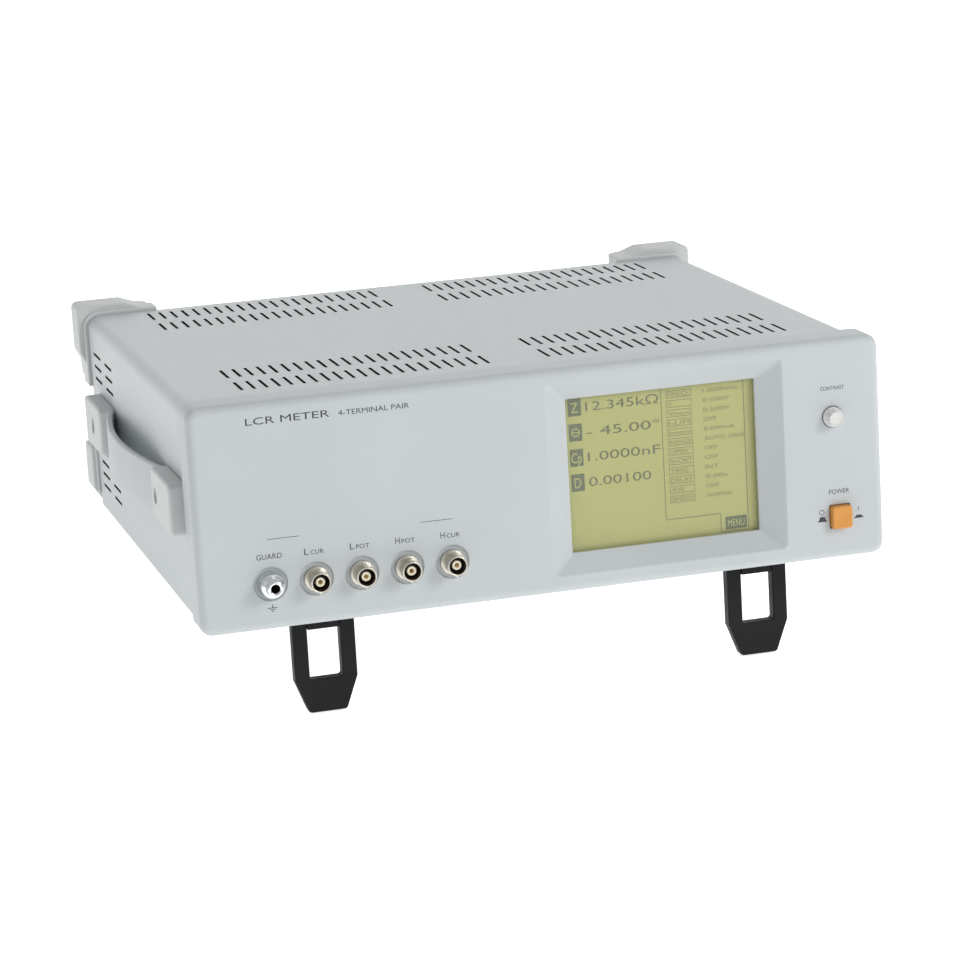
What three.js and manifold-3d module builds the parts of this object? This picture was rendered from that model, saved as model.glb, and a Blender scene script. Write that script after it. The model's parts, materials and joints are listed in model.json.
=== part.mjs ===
// Bench LCR meter: moulded front bezel, folded steel cover, corner guards, strap handle,
// fold-out front legs, four measuring connectors, display, rear panel and what sits inside.
//
// Everything is drawn with the case level: x to the right, y from the front panel backwards,
// z up from the bezel's lower edge, in millimetres. The whole case is then tilted back about x,
// because it stands on its two opened front legs and the feet of the lower rear guards.

import * as THREE from 'three';
import { mergeVertices } from 'three/addons/utils/BufferGeometryUtils.js';
import { ConvexGeometry } from 'three/addons/geometries/ConvexGeometry.js';
import Module from 'manifold-3d';

const wasm = await Module();
wasm.setup();
const { Manifold, Mesh: ManifoldMesh } = wasm;

// ---------------------------------------------------------------- driving dimensions

const GAP = 0.3; // running gap between neighbouring pieces

const BEZEL = { half: 170.5, height: 109, depth: 21, wall: 3.2, corner: 6, edge: 4 };
const COVER = { half: 168, bottom: 3.5, top: 106.3, front: 17.8, rear: 287, sheet: 1.2, bend: 6 };
const VENT = { width: 2.1, length: 20.5, first: 15.2, pitch: 6.08, count: 21 };
VENT.rows = [[56, 3], [89, 3], [235, 0], [268, 0]]; // y of each row and how far it is shifted along x
const SIDE_VENT = { first: 17, pitch: 6.5, count: 12, columns: [231, 264.5] };

const SCREEN = { x0: 13.5, x1: 108.6, z0: 17.2, z1: 92.5, depth: 7.4 };
const RECESS = { x0: 1.7, x1: 119.9, z0: 8.7, z1: 102 };

const TERMINAL = { z: 22.2, pitch: 22, guard: -136, recess: 8.1, floor: 1.2, hole: 5 };
const TERMINAL_NAMES = ['l_cur', 'l_pot', 'h_pot', 'h_cur'];

const KNOB = { x: 145.4, z: 70.9, base: 4.4, face: 3.1, proud: 6, recess: 5.3 };
const BUTTON = { x: 147.6, z: 21.2, width: 10, height: 11, proud: 4, back: 7 };

const LEG = {
  left: -107, right: 112.5, y: 29, z: -3, half: 15.4, thick: 6.5, shoulder: -34.4, foot: -51, footHalf: 9.3,
  window: { half: 8, bottom: -34 }, pin: 1.5, bore: 1.8, lugHalf: 7.6,
};

const GUARD = { start: 287.8, rear: 312, foot: -7, top: 112.3, arm: 38, lowerArm: 35 };
const HANDLE = { z: 53.5, height: 25, cap: 8.2, capLength: 46, frontEnd: 27, rearEnd: 266, strap: 3.2 };
HANDLE.screws = [64, 243];
HANDLE.bulge = 12.5;

const PANEL = { y: 284.8, thick: 1.6 };
const INLET = { x: 130, z: 52, half: 13.7, flange: 16.5 };

const TILT = Math.atan2(GUARD.foot - LEG.foot, GUARD.rear - LEG.y);

// ---------------------------------------------------------------- finishes

const finish = (color, roughness, metalness = 0) => ({ color, roughness, metalness });
const FINISH = {
  case: finish(0xcfd3d2, 0.6),
  paint: finish(0xc9cecd, 0.55),
  guard: finish(0xcac8c0, 0.6),
  black: finish(0x15171a, 0.5),
  orange: finish(0xdd9a45, 0.45),
  knob: finish(0xd8d8d4, 0.5),
  nickel: finish(0xb9b4a4, 0.3, 1),
  chrome: finish(0xd5d7da, 0.12, 1),
  brass: finish(0xb8954a, 0.35, 1),
  cream: finish(0xe4dcc0, 0.5),
  screen: finish(0xb2b273, 0.25),
  zinc: finish(0xa9adb0, 0.4, 1),
  board: finish(0x2c5a3c, 0.5),
  iron: finish(0x6b5a3c, 0.5, 0.5),
};

// ---------------------------------------------------------------- shape helpers

/** Turns three.js geometry into a manifold solid. */
function solid(geometry) {
  const bare = geometry.clone();
  bare.deleteAttribute('normal');
  bare.deleteAttribute('uv');
  const merged = mergeVertices(bare, 1e-4);
  const mesh = new ManifoldMesh({
    numProp: 3,
    vertProperties: new Float32Array(merged.attributes.position.array),
    triVerts: new Uint32Array(merged.index.array),
  });
  mesh.merge();
  return new Manifold(mesh);
}

/** Turns a manifold solid back into three.js geometry. */
function geometryOf(body) {
  const mesh = body.getMesh();
  const geometry = new THREE.BufferGeometry();
  geometry.setAttribute('position', new THREE.BufferAttribute(new Float32Array(mesh.vertProperties), 3));
  geometry.setIndex(new THREE.BufferAttribute(new Uint32Array(mesh.triVerts), 1));
  geometry.computeVertexNormals();
  return geometry;
}

const join = (...bodies) => bodies.reduce((whole, next) => whole.add(next));
const cut = (body, ...tools) => tools.reduce((left, tool) => left.subtract(tool), body);

/** Box between two corners. */
function box(x0, x1, y0, y1, z0, z1) {
  const geometry = new THREE.BoxGeometry(x1 - x0, y1 - y0, z1 - z0);
  return solid(geometry.translate((x0 + x1) / 2, (y0 + y1) / 2, (z0 + z1) / 2));
}

// Extrusions: the outline's two axes and the direction it is pushed along.
const BASIS = {
  xz: new THREE.Matrix4().makeBasis(axis(1, 0, 0), axis(0, 0, 1), axis(0, -1, 0)),
  yz: new THREE.Matrix4().makeBasis(axis(0, 1, 0), axis(0, 0, 1), axis(1, 0, 0)),
  xy: new THREE.Matrix4(),
};

function axis(x, y, z) {
  return new THREE.Vector3(x, y, z);
}

/** Pushes an outline from one place to another along the axis square to its plane. */
function extrude(shape, plane, from, to, options = {}) {
  const bevel = options.bevel ?? 0;
  const geometry = new THREE.ExtrudeGeometry(shape, {
    depth: to - from - 2 * bevel,
    bevelEnabled: bevel > 0,
    bevelThickness: bevel,
    bevelSize: bevel,
    bevelOffset: -bevel,
    bevelSegments: options.bevelSegments ?? 2,
    curveSegments: options.segments ?? 4,
  });
  geometry.translate(0, 0, bevel);
  geometry.applyMatrix4(BASIS[plane]);
  const shift = { xz: [0, to, 0], yz: [from, 0, 0], xy: [0, 0, from] }[plane];
  return solid(geometry.translate(...shift));
}

/** Outline of a rectangle with its four corner radii (lower left, lower right, upper right, upper left). */
function roundedRect(a0, a1, b0, b1, radii) {
  const [ll, lr, ur, ul] = Array.isArray(radii) ? radii : [radii, radii, radii, radii];
  const shape = new THREE.Shape();
  shape.moveTo(a0 + ll, b0);
  shape.lineTo(a1 - lr, b0);
  if (lr) shape.absarc(a1 - lr, b0 + lr, lr, -Math.PI / 2, 0, false);
  shape.lineTo(a1, b1 - ur);
  if (ur) shape.absarc(a1 - ur, b1 - ur, ur, 0, Math.PI / 2, false);
  shape.lineTo(a0 + ul, b1);
  if (ul) shape.absarc(a0 + ul, b1 - ul, ul, Math.PI / 2, Math.PI, false);
  shape.lineTo(a0, b0 + ll);
  if (ll) shape.absarc(a0 + ll, b0 + ll, ll, Math.PI, Math.PI * 1.5, false);
  return shape;
}

/** Outline through a list of points. */
const polygon = (points) => new THREE.Shape(points.map(([a, b]) => new THREE.Vector2(a, b)));

/** Round bar along one axis between two places, centred on the other two coordinates. */
function rod(along, centre, from, to, radius, sides = 20) {
  const geometry = new THREE.CylinderGeometry(radius, radius, to - from, sides);
  if (along === 'x') geometry.rotateZ(Math.PI / 2);
  if (along === 'z') geometry.rotateX(Math.PI / 2);
  const middle = (from + to) / 2;
  const [a, b] = centre;
  const place = { x: [middle, a, b], y: [a, middle, b], z: [a, b, middle] }[along];
  return solid(geometry.translate(...place));
}

/** Turned part about an axis along y; the profile lists [radius, y] pairs from front to back. */
function turned(x, z, profile, sides = 20) {
  const points = profile.map(([radius, y]) => new THREE.Vector2(radius, y));
  const geometry = new THREE.LatheGeometry(points, sides);
  return solid(geometry.translate(x, 0, z));
}

/** Tapered block between a front rectangle and a back rectangle, both square to y. */
function funnel(front, yFront, back, yBack) {
  const corners = [[front, yFront], [back, yBack]].flatMap(([r, y]) => [
    axis(r.x0, y, r.z0), axis(r.x1, y, r.z0), axis(r.x1, y, r.z1), axis(r.x0, y, r.z1),
  ]);
  return solid(new ConvexGeometry(corners));
}

// ---------------------------------------------------------------- assembly bookkeeping

const model = new THREE.Group();

/** Adds one named piece; a mirrored piece is reflected in the plane x = 0. */
function place(name, body, look) {
  const mesh = new THREE.Mesh(geometryOf(body), new THREE.MeshStandardMaterial(look));
  mesh.name = name;
  model.add(mesh);
}

const mirrorX = (body) => body.mirror([1, 0, 0]);

// ---------------------------------------------------------------- front bezel and display

function terminalX(index) {
  return TERMINAL.guard + TERMINAL.pitch * index;
}

function frontBezel() {
  const { half, height, depth, wall, corner, edge } = BEZEL;
  const outline = roundedRect(-half, half, 0, height, corner);
  const block = extrude(outline, 'xz', 0, depth + 2 * edge, { bevel: edge, bevelSegments: 3 });
  const trimmed = cut(block, box(-half - 1, half + 1, depth, depth + 3 * edge, -1, height + 1));
  const fit = GAP + 0.05;
  const inside = roundedRect(
    -COVER.half - fit, COVER.half + fit, COVER.bottom - GAP, COVER.top + fit,
    [0, 0, COVER.bend + fit, COVER.bend + fit],
  );
  const shell = cut(trimmed, extrude(inside, 'xz', wall, depth + 5, { segments: 5 }));
  const boss = box(
    RECESS.x0 - 1.4, RECESS.x1 + 1.4, wall - 0.5, SCREEN.depth + 1.2, RECESS.z0 - 1.5, RECESS.z1 + 1.5,
  );
  const recess = funnel(RECESS, -0.02, SCREEN, SCREEN.depth);
  const opening = box(SCREEN.x0, SCREEN.x1, SCREEN.depth - 0.1, SCREEN.depth + 5, SCREEN.z0, SCREEN.z1);
  let bezel = cut(join(shell, boss), recess, opening);
  for (let i = 0; i <= TERMINAL_NAMES.length; i += 1) {
    const centre = [terminalX(i), TERMINAL.z];
    bezel = cut(
      bezel,
      rod('y', centre, -1, TERMINAL.floor, TERMINAL.recess, 28),
      rod('y', centre, 0, wall + 1, TERMINAL.hole, 20),
    );
  }
  const w = BUTTON.width / 2 + GAP;
  const h = BUTTON.height / 2 + GAP;
  return cut(
    bezel,
    rod('y', [KNOB.x, KNOB.z], -1, TERMINAL.floor, KNOB.recess, 24),
    rod('y', [KNOB.x, KNOB.z], 0, wall + 1, 3.4, 16),
    box(BUTTON.x - w, BUTTON.x + w, -1, wall + 1, BUTTON.z - h, BUTTON.z + h),
  );
}

function subPanel() {
  const plate = box(-165.8, 165.8, 14, 15.5, 6, 103);
  let panel = cut(plate, box(5, 115, 13, 17, 14, 98));
  for (let i = 0; i <= TERMINAL_NAMES.length; i += 1) {
    panel = cut(panel, rod('y', [terminalX(i), TERMINAL.z], 13, 17, TERMINAL.hole, 16));
  }
  return cut(
    panel,
    rod('y', [KNOB.x, KNOB.z], 13, 17, 4.2, 16),
    box(BUTTON.x - 3, BUTTON.x + 3, 13, 17, BUTTON.z - 3, BUTTON.z + 3),
  );
}

function lcdPanel() {
  const glass = box(SCREEN.x0 - 2, SCREEN.x1 + 2, 10.9, 13, SCREEN.z0 - 2, SCREEN.z1 + 2);
  const frame = box(SCREEN.x0 - 6, SCREEN.x1 + 4, 12.9, 19, SCREEN.z0 - 2, SCREEN.z1 + 4);
  return join(glass, frame);
}

place('front_bezel', frontBezel(), FINISH.case);
place('sub_panel', subPanel(), FINISH.zinc);
place(
  'display_window',
  box(SCREEN.x0 - 4, SCREEN.x1 + 4, SCREEN.depth + 1.5, SCREEN.depth + 3, SCREEN.z0 - 4, SCREEN.z1 + 4),
  FINISH.screen,
);
place('lcd_panel', lcdPanel(), FINISH.screen);
place('display_board', join(box(8, 112, 22, 23.6, 18, 94), box(20, 60, 23.5, 30, 30, 50)), FINISH.board);
place(
  'backlight_inverter',
  join(box(-24, -6, 18, 19.6, 24, 92), box(-22, -8, 19.5, 27, 34, 52)),
  FINISH.board,
);

// ---------------------------------------------------------------- measuring terminals

function connectorShell(x, z) {
  const body = turned(x, z, [
    [0, -9.5], [4.8, -9.5], [4.8, -1.4], [6.6, -1.4], [6.6, 0.9], [4.6, 0.9], [4.6, 27], [0, 27], [0, -9.5],
  ]);
  const lugs = rod('z', [x, -6.6], z - 5.6, z + 5.6, 1, 8);
  const bore = rod('y', [x, z], -10, -1, 4.05, 20);
  return cut(join(body, lugs), bore, rod('y', [x, z], -2, 28, 2.6, 12));
}

function connectorInsulator(x, z) {
  return cut(rod('y', [x, z], -7.6, 27.6, 2.3, 14), rod('y', [x, z], -8, 28, 1, 8));
}

TERMINAL_NAMES.forEach((name, index) => {
  const x = terminalX(index + 1);
  place(`bnc_shell_${name}`, connectorShell(x, TERMINAL.z), FINISH.nickel);
  place(`bnc_insulator_${name}`, connectorInsulator(x, TERMINAL.z), FINISH.cream);
  place(`bnc_contact_${name}`, rod('y', [x, TERMINAL.z], -7.8, 30, 0.7, 8), FINISH.brass);
});

function guardTerminal(x, z) {
  const body = turned(x, z, [
    [0, -10.8], [3.4, -10.8], [3.9, -10.2], [3.9, -7], [5.6, -5.6], [6, -4.6], [6, -1.5], [7, -0.8], [7, 0.9],
    [4.6, 0.9], [4.6, 26], [0, 26], [0, -10.8],
  ], 24);
  return cut(body, rod('y', [x, z], -11, 14, 2, 14));
}

place('guard_terminal', guardTerminal(TERMINAL.guard, TERMINAL.z), FINISH.chrome);
place(
  'guard_terminal_nut',
  cut(
    rod('y', [TERMINAL.guard, TERMINAL.z], 15.8, 19, 6.8, 6),
    rod('y', [TERMINAL.guard, TERMINAL.z], 15, 20, 4.9, 20),
  ),
  FINISH.nickel,
);

// ---------------------------------------------------------------- controls

function contrastKnob() {
  const { x, z, base, face, proud } = KNOB;
  const profile = [[0, -proud], [face, -proud], [base, -1.5], [base, 0.8], [0, 0.8], [0, -proud]];
  return cut(turned(x, z, profile, 18), rod('y', [x, z], -3, 2, 1.8, 12));
}

place('contrast_knob', contrastKnob(), FINISH.knob);
place(
  'contrast_pot',
  join(
    rod('y', [KNOB.x, KNOB.z], -2.6, 18, 1.5, 12),
    rod('y', [KNOB.x, KNOB.z], 10, 20, 3.6, 12),
    box(KNOB.x - 6, KNOB.x + 6, 16, 24, KNOB.z - 6, KNOB.z + 6),
  ),
  FINISH.zinc,
);

function powerButton() {
  const w = BUTTON.width / 2;
  const h = BUTTON.height / 2;
  const cap = extrude(
    roundedRect(BUTTON.x - w, BUTTON.x + w, BUTTON.z - h, BUTTON.z + h, 0.8),
    'xz', -BUTTON.proud, BUTTON.back, { bevel: 0.5, bevelSegments: 1, segments: 2 },
  );
  return join(cap, box(BUTTON.x - 2, BUTTON.x + 2, BUTTON.back - 1, 24, BUTTON.z - 2, BUTTON.z + 2));
}

place('power_button', powerButton(), FINISH.orange);
place(
  'power_switch',
  cut(
    box(BUTTON.x - 8, BUTTON.x + 8, 15.9, 44, BUTTON.z - 7.5, BUTTON.z + 7.5),
    box(BUTTON.x - 2.4, BUTTON.x + 2.4, 15, 26, BUTTON.z - 2.4, BUTTON.z + 2.4),
  ),
  FINISH.black,
);

// ---------------------------------------------------------------- folded covers and chassis

/** Slots of the top: two rows at the front and two at the back, left and right of the middle. */
function topVents() {
  const tools = [];
  for (const side of [-1, 1]) {
    for (const [y, shift] of VENT.rows) {
      for (let k = 0; k < VENT.count; k += 1) {
        const x = side * (VENT.first + VENT.pitch * k) + shift;
        const [w, l] = [VENT.width / 2, VENT.length / 2];
        tools.push(box(x - w, x + w, y - l, y + l, COVER.top - 3, COVER.top + 1));
      }
    }
  }
  return tools;
}

/** Slots of both sides near the back; the left side has none under the handle's cap. */
function sideVents() {
  const tools = [];
  for (const side of [-1, 1]) {
    for (const y of SIDE_VENT.columns) {
      for (let k = 0; k < SIDE_VENT.count; k += 1) {
        const z = SIDE_VENT.first + SIDE_VENT.pitch * k;
        if (side < 0 && Math.abs(z - HANDLE.z) < 15) continue;
        const [w, l] = [VENT.width / 2, VENT.length / 2];
        const x = side * COVER.half;
        tools.push(box(x - 3, x + 3, y - l, y + l, z - w, z + w));
      }
    }
  }
  return tools;
}

function topCover() {
  const { half, bottom, top, front, rear, sheet, bend } = COVER;
  const outline = roundedRect(-half, half, bottom, top, [0, 0, bend, bend]);
  const outer = extrude(outline, 'xz', front, rear, { segments: 5 });
  const inner = extrude(
    roundedRect(-half + sheet, half - sheet, bottom - 5, top - sheet, [0, 0, bend - sheet, bend - sheet]),
    'xz', front - 1, rear + 1, { segments: 5 },
  );
  const screwHoles = HANDLE.screws.map((y) => rod('x', [y, HANDLE.z], -half - 3, -half + 3, 2.4, 10));
  return cut(outer, inner, Manifold.union([...topVents(), ...sideVents(), ...screwHoles]));
}

function bottomCover() {
  const side = COVER.half - COVER.sheet - 0.4;
  const z0 = COVER.bottom;
  const z1 = COVER.bottom + COVER.sheet;
  let pan = box(-side, side, COVER.front, PANEL.y - 0.4, z0, z1);
  for (const s of [-1, 1]) {
    const [x0, x1] = [s * side, s * (side - COVER.sheet)].sort((a, b) => a - b);
    pan = join(pan, box(x0, x1, 24, PANEL.y - 0.4, z0, 16));
    for (const y of [60, 210]) {
      pan = join(pan, rod('z', [s * 60 - 30, y], z0 + 0.2, 15.7, 3.5, 10));
    }
  }
  for (const x of [-110, -90, -70, 60, 80]) {
    pan = cut(pan, box(x - 2, x + 2, 120, 160, 2, 6));
  }
  return pan;
}

function chassisRail() {
  const outer = COVER.half - COVER.sheet - 1.2;
  const web = box(-outer, -outer + 1.5, 19, PANEL.y - 0.5, 38, 63);
  const flange = box(-outer, -outer + 10, 19, PANEL.y - 0.5, 38, 39.5);
  const holes = HANDLE.screws.map((y) => rod('x', [y, HANDLE.z], -outer - 1, -outer + 3, 2.2, 10));
  return cut(join(web, flange), ...holes);
}

place('top_cover', topCover(), FINISH.paint);
place('bottom_cover', bottomCover(), FINISH.paint);
place('chassis_rail_left', chassisRail(), FINISH.zinc);
place('chassis_rail_right', mirrorX(chassisRail()), FINISH.zinc);

// ---------------------------------------------------------------- rear panel and its sockets

const SERIAL = { x: -20, z: 72 };
const HANDLER = { x: -95, z: 72 };
const OPTION = { x: -58, z: 34 };
const EARTH = { x: 92, z: 34 };

function rearPanel() {
  const half = COVER.half - COVER.sheet - 0.5;
  const plate = extrude(
    roundedRect(-half, half, 5.2, COVER.top - COVER.sheet - 0.5, [1, 1, COVER.bend - 1.7, COVER.bend - 1.7]),
    'xz', PANEL.y, PANEL.y + PANEL.thick,
  );
  const [y0, y1] = [PANEL.y - 1, PANEL.y + 3];
  const holes = [
    box(INLET.x - 14, INLET.x + 14, y0, y1, INLET.z - 24, INLET.z + 24),
    box(SERIAL.x - 10, SERIAL.x + 10, y0, y1, SERIAL.z - 6, SERIAL.z + 6),
    box(HANDLER.x - 26, HANDLER.x + 26, y0, y1, HANDLER.z - 6.5, HANDLER.z + 6.5),
    box(OPTION.x - 50, OPTION.x + 50, y0, y1, OPTION.z - 11, OPTION.z + 11),
    rod('y', [EARTH.x, EARTH.z], y0, y1, 3.3, 14),
  ];
  for (const side of [-1, 1]) {
    for (const z of guardScrewHeights()) {
      holes.push(rod('y', [side * 160, z], y0, y1, 2.2, 10));
    }
  }
  for (let k = 0; k < 12; k += 1) {
    holes.push(box(24 + 5 * k, 26.2 + 5 * k, y0, y1, 58, 90));
  }
  return cut(plate, ...holes);
}

function guardScrewHeights() {
  return [15, COVER.top + COVER.bottom - 15];
}

function mainsInlet() {
  const { x, z, half, flange } = INLET;
  const body = join(
    box(x - half, x + half, 262, 287.5, z - 23.7, z + 23.7),
    box(x - flange, x + flange, PANEL.y + PANEL.thick + GAP, 289.2, z - 26, z + 26),
  );
  const socket = polygon([
    [x - 12, z], [x + 12, z], [x + 12, z + 11.5], [x + 8, z + 16.5], [x - 8, z + 16.5], [x - 12, z + 11.5],
  ]);
  const drawerHole = box(x - 11.4, x + 11.4, 265.5, 291, z - 20, z - 5.2);
  const hollow = cut(body, extrude(socket, 'xz', 271, 291), drawerHole);
  const pins = [[-7, 6], [7, 6], [0, 10.5]].map(([dx, dz]) => (
    box(x + dx - 1, x + dx + 1, 270, 284, z + dz - 2, z + dz + 2)
  ));
  return join(hollow, ...pins);
}

function fuseDrawer() {
  const { x, z } = INLET;
  return join(
    box(x - 11.1, x + 11.1, 266, 289.5, z - 19.7, z - 5.5),
    box(x - 11.1, x + 11.1, 289.4, 290.8, z - 19.7, z - 5.5),
    box(x - 4, x + 4, 290.7, 292, z - 8.4, z - 6.4),
  );
}

function serialConnector() {
  const { x, z } = SERIAL;
  const shell = polygon([[x - 8.5, z + 4.2], [x - 7.3, z - 4.2], [x + 7.3, z - 4.2], [x + 8.5, z + 4.2]]);
  return join(
    box(x - 15.5, x + 15.5, PANEL.y + PANEL.thick + GAP, 287.9, z - 6.2, z + 6.2),
    extrude(shell, 'xz', 287.5, 293.5),
    box(x - 9.6, x + 9.6, 276, 287, z - 5.6, z + 5.6),
  );
}

function handlerConnector() {
  const { x, z } = HANDLER;
  const shell = polygon([[x - 24, z + 5.4], [x - 22, z - 5.4], [x + 22, z - 5.4], [x + 24, z + 5.4]]);
  const groove = box(x - 20, x + 20, 289, 296, z - 1.7, z + 1.7);
  return cut(join(
    box(x - 32, x + 32, PANEL.y + PANEL.thick + GAP, 287.9, z - 7.5, z + 7.5),
    extrude(shell, 'xz', 287.5, 294),
    box(x - 25.6, x + 25.6, 274, 287, z - 6.1, z + 6.1),
  ), groove);
}

place('rear_panel', rearPanel(), FINISH.paint);
place('mains_inlet', mainsInlet(), FINISH.black);
place('fuse_drawer', fuseDrawer(), FINISH.black);
place('serial_connector', serialConnector(), FINISH.zinc);
place('handler_connector', handlerConnector(), FINISH.zinc);
place(
  'option_slot_plate',
  box(OPTION.x - 54, OPTION.x + 54, PANEL.y + PANEL.thick + GAP, 288, OPTION.z - 14, OPTION.z + 14),
  FINISH.paint,
);
place(
  'rear_earth_terminal',
  turned(EARTH.x, EARTH.z, [
    [0, 278], [3, 278], [3, 286.7], [6.5, 286.7], [6.5, 288.5], [3, 288.5], [3, 291],
    [5, 291], [5, 297], [0, 297], [0, 278],
  ], 14),
  FINISH.nickel,
);

// ---------------------------------------------------------------- rear corner guards

/** Lower left guard: one thick block round the corner, bevelled outside, with the foot under it. */
function lowerLeftGuard() {
  const x0 = -COVER.half;
  const z0 = COVER.bottom;
  const reach = GUARD.lowerArm;
  const lip = polygon([
    [x0 - 1.5, z0 + reach + 3], [x0 - 1.5, z0 + 12], [x0 + 8, z0 - 1.5], [x0 + reach + 3, z0 - 1.5],
    [x0 + reach + 3, z0 + 8], [x0 + 20, z0 + 13], [x0 + 13, z0 + 20], [x0 + 8, z0 + reach + 3],
  ]);
  const block = polygon([
    [x0 - 3.3, z0 + reach], [x0 - 3.3, z0 + 12], [x0 + 6, z0 - 3], [x0 + 15, GUARD.foot],
    [x0 + 32, GUARD.foot], [x0 + reach, z0 - 3], [x0 + reach, z0 + 8], [x0 + 20, z0 + 13],
    [x0 + 13, z0 + 20], [x0 + 8, z0 + reach],
  ]);
  const foot = join(
    extrude(lip, 'xz', GUARD.start, 302),
    extrude(block, 'xz', GUARD.start + 2.5, GUARD.rear),
  );
  return guardHoles(foot, x0 + 8, guardScrewHeights()[0]);
}

/** Upper left guard: a square bumper block at the corner and two lower arms running out of it. */
function upperLeftGuard() {
  const x0 = -COVER.half;
  const z1 = COVER.top;
  const lip = polygon([
    [x0 - 1.5, z1 - GUARD.arm], [x0 + 8, z1 - GUARD.arm], [x0 + 13, z1 - 20], [x0 + 20, z1 - 13],
    [x0 + GUARD.arm, z1 - 8], [x0 + GUARD.arm, z1 + 1.5], [x0 + 5, z1 + 1.5], [x0 - 1.5, z1 - 5],
  ]);
  const block = polygon([
    [x0 - 5, z1 - 20], [x0 - 2, z1 - 31], [x0 + 8, z1 - 33], [x0 + 13, z1 - 20], [x0 + 20, z1 - 13],
    [x0 + 33, z1 - 8], [x0 + 31, z1 + 2], [x0 + 20, GUARD.top], [x0 - 1, GUARD.top], [x0 - 5, z1 + 2],
  ]);
  const bumper = join(
    extrude(lip, 'xz', GUARD.start, 302),
    extrude(block, 'xz', GUARD.start + 3, GUARD.rear),
  );
  return guardHoles(bumper, x0 + 8, guardScrewHeights()[1]);
}

/** Screw hole with a counterbore open to the back. */
function guardHoles(body, x, z) {
  return cut(body, rod('y', [x, z], 280, 320, 2.2, 12), rod('y', [x, z], 297, 320, 4.2, 16));
}

function guardScrew(x, z) {
  return turned(x, z, [
    [0, 280], [1.8, 280], [1.8, 297.3], [3.6, 297.3], [3.6, 299], [2.6, 300], [0, 300], [0, 280],
  ], 14);
}

const guards = [['lower', lowerLeftGuard], ['upper', upperLeftGuard]];
guards.forEach(([level, shape], index) => {
  const screw = guardScrew(-COVER.half + 8, guardScrewHeights()[index]);
  place(`rear_guard_${level}_left`, shape(), FINISH.guard);
  place(`rear_guard_${level}_right`, mirrorX(shape()), FINISH.guard);
  place(`rear_guard_screw_${level}_left`, screw, FINISH.zinc);
  place(`rear_guard_screw_${level}_right`, mirrorX(screw), FINISH.zinc);
});

// ---------------------------------------------------------------- strap handle on the left side

const WALL = -COVER.half - GAP; // just off the cover's left face

/** How far the strap's inner face stands off the cover at a place along the case. */
function strapOffset(y) {
  const [start, end] = [75, 217];
  if (y <= start || y >= end) return 0.6;
  const u = (y - start) / (end - start);
  return 0.6 + (HANDLE.bulge - HANDLE.strap - 1) * Math.sin(Math.PI * u) ** 0.8;
}

function handleStrap() {
  const [y0, y1, steps] = [HANDLE.frontEnd + 16, HANDLE.rearEnd - 16, 22];
  const inner = [];
  const outer = [];
  for (let i = 0; i <= steps; i += 1) {
    const y = y0 + ((y1 - y0) * i) / steps;
    const off = strapOffset(y);
    inner.push([WALL - off, y]);
    outer.push([WALL - off - HANDLE.strap, y]);
  }
  const h = HANDLE.height / 2 - 0.8;
  const band = extrude(polygon([...inner, ...outer.reverse()]), 'xy', HANDLE.z - h, HANDLE.z + h);
  return cut(band, ...HANDLE.screws.map((y) => rod('x', [y, HANDLE.z], -190, -160, 2.4, 10)));
}

function handleCap(y0, y1, mouth, screwY) {
  const h = HANDLE.height / 2;
  const outline = roundedRect(y0, y1, HANDLE.z - h, HANDLE.z + h, 3);
  const block = extrude(outline, 'yz', WALL - HANDLE.cap, WALL + 4, { bevel: 1.6, segments: 2 });
  const shell = cut(block, box(WALL, WALL + 9, y0 - 1, y1 + 1, 20, 80));
  const slotFrom = mouth < 0 ? y0 - 2 : y0 + 15;
  const slotTo = mouth < 0 ? y1 - 15 : y1 + 2;
  const slotSide = WALL - HANDLE.strap - 0.6 - GAP;
  const slot = box(slotSide, WALL + 1, slotFrom, slotTo, HANDLE.z - h + 0.5, HANDLE.z + h - 0.5);
  return cut(
    shell, slot,
    rod('x', [screwY, HANDLE.z], -190, -160, 2.2, 12),
    rod('x', [screwY, HANDLE.z], -190, WALL - HANDLE.cap + 2.6, 4.2, 16),
  );
}

function handleScrew(y) {
  const face = WALL - HANDLE.cap + 2.6 - GAP;
  return join(
    rod('x', [y, HANDLE.z], face - 2, face, 3.7, 14),
    rod('x', [y, HANDLE.z], face - 0.5, -158, 1.8, 10),
  );
}

place('handle_strap', handleStrap(), FINISH.case);
place(
  'handle_cap_front',
  handleCap(HANDLE.frontEnd, HANDLE.frontEnd + HANDLE.capLength, 1, HANDLE.screws[0]),
  FINISH.guard,
);
place(
  'handle_cap_rear',
  handleCap(HANDLE.rearEnd - HANDLE.capLength, HANDLE.rearEnd, -1, HANDLE.screws[1]),
  FINISH.guard,
);
place('handle_screw_front', handleScrew(HANDLE.screws[0]), FINISH.zinc);
place('handle_screw_rear', handleScrew(HANDLE.screws[1]), FINISH.zinc);

// ---------------------------------------------------------------- fold-out front legs

/** Everything below the surface that the meter stands on. */
function belowFloor() {
  const slab = new THREE.BoxGeometry(600, 600, 100).translate(0, 0, -50);
  slab.rotateX(TILT);
  return solid(slab.translate(0, LEG.y, LEG.foot));
}

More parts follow.
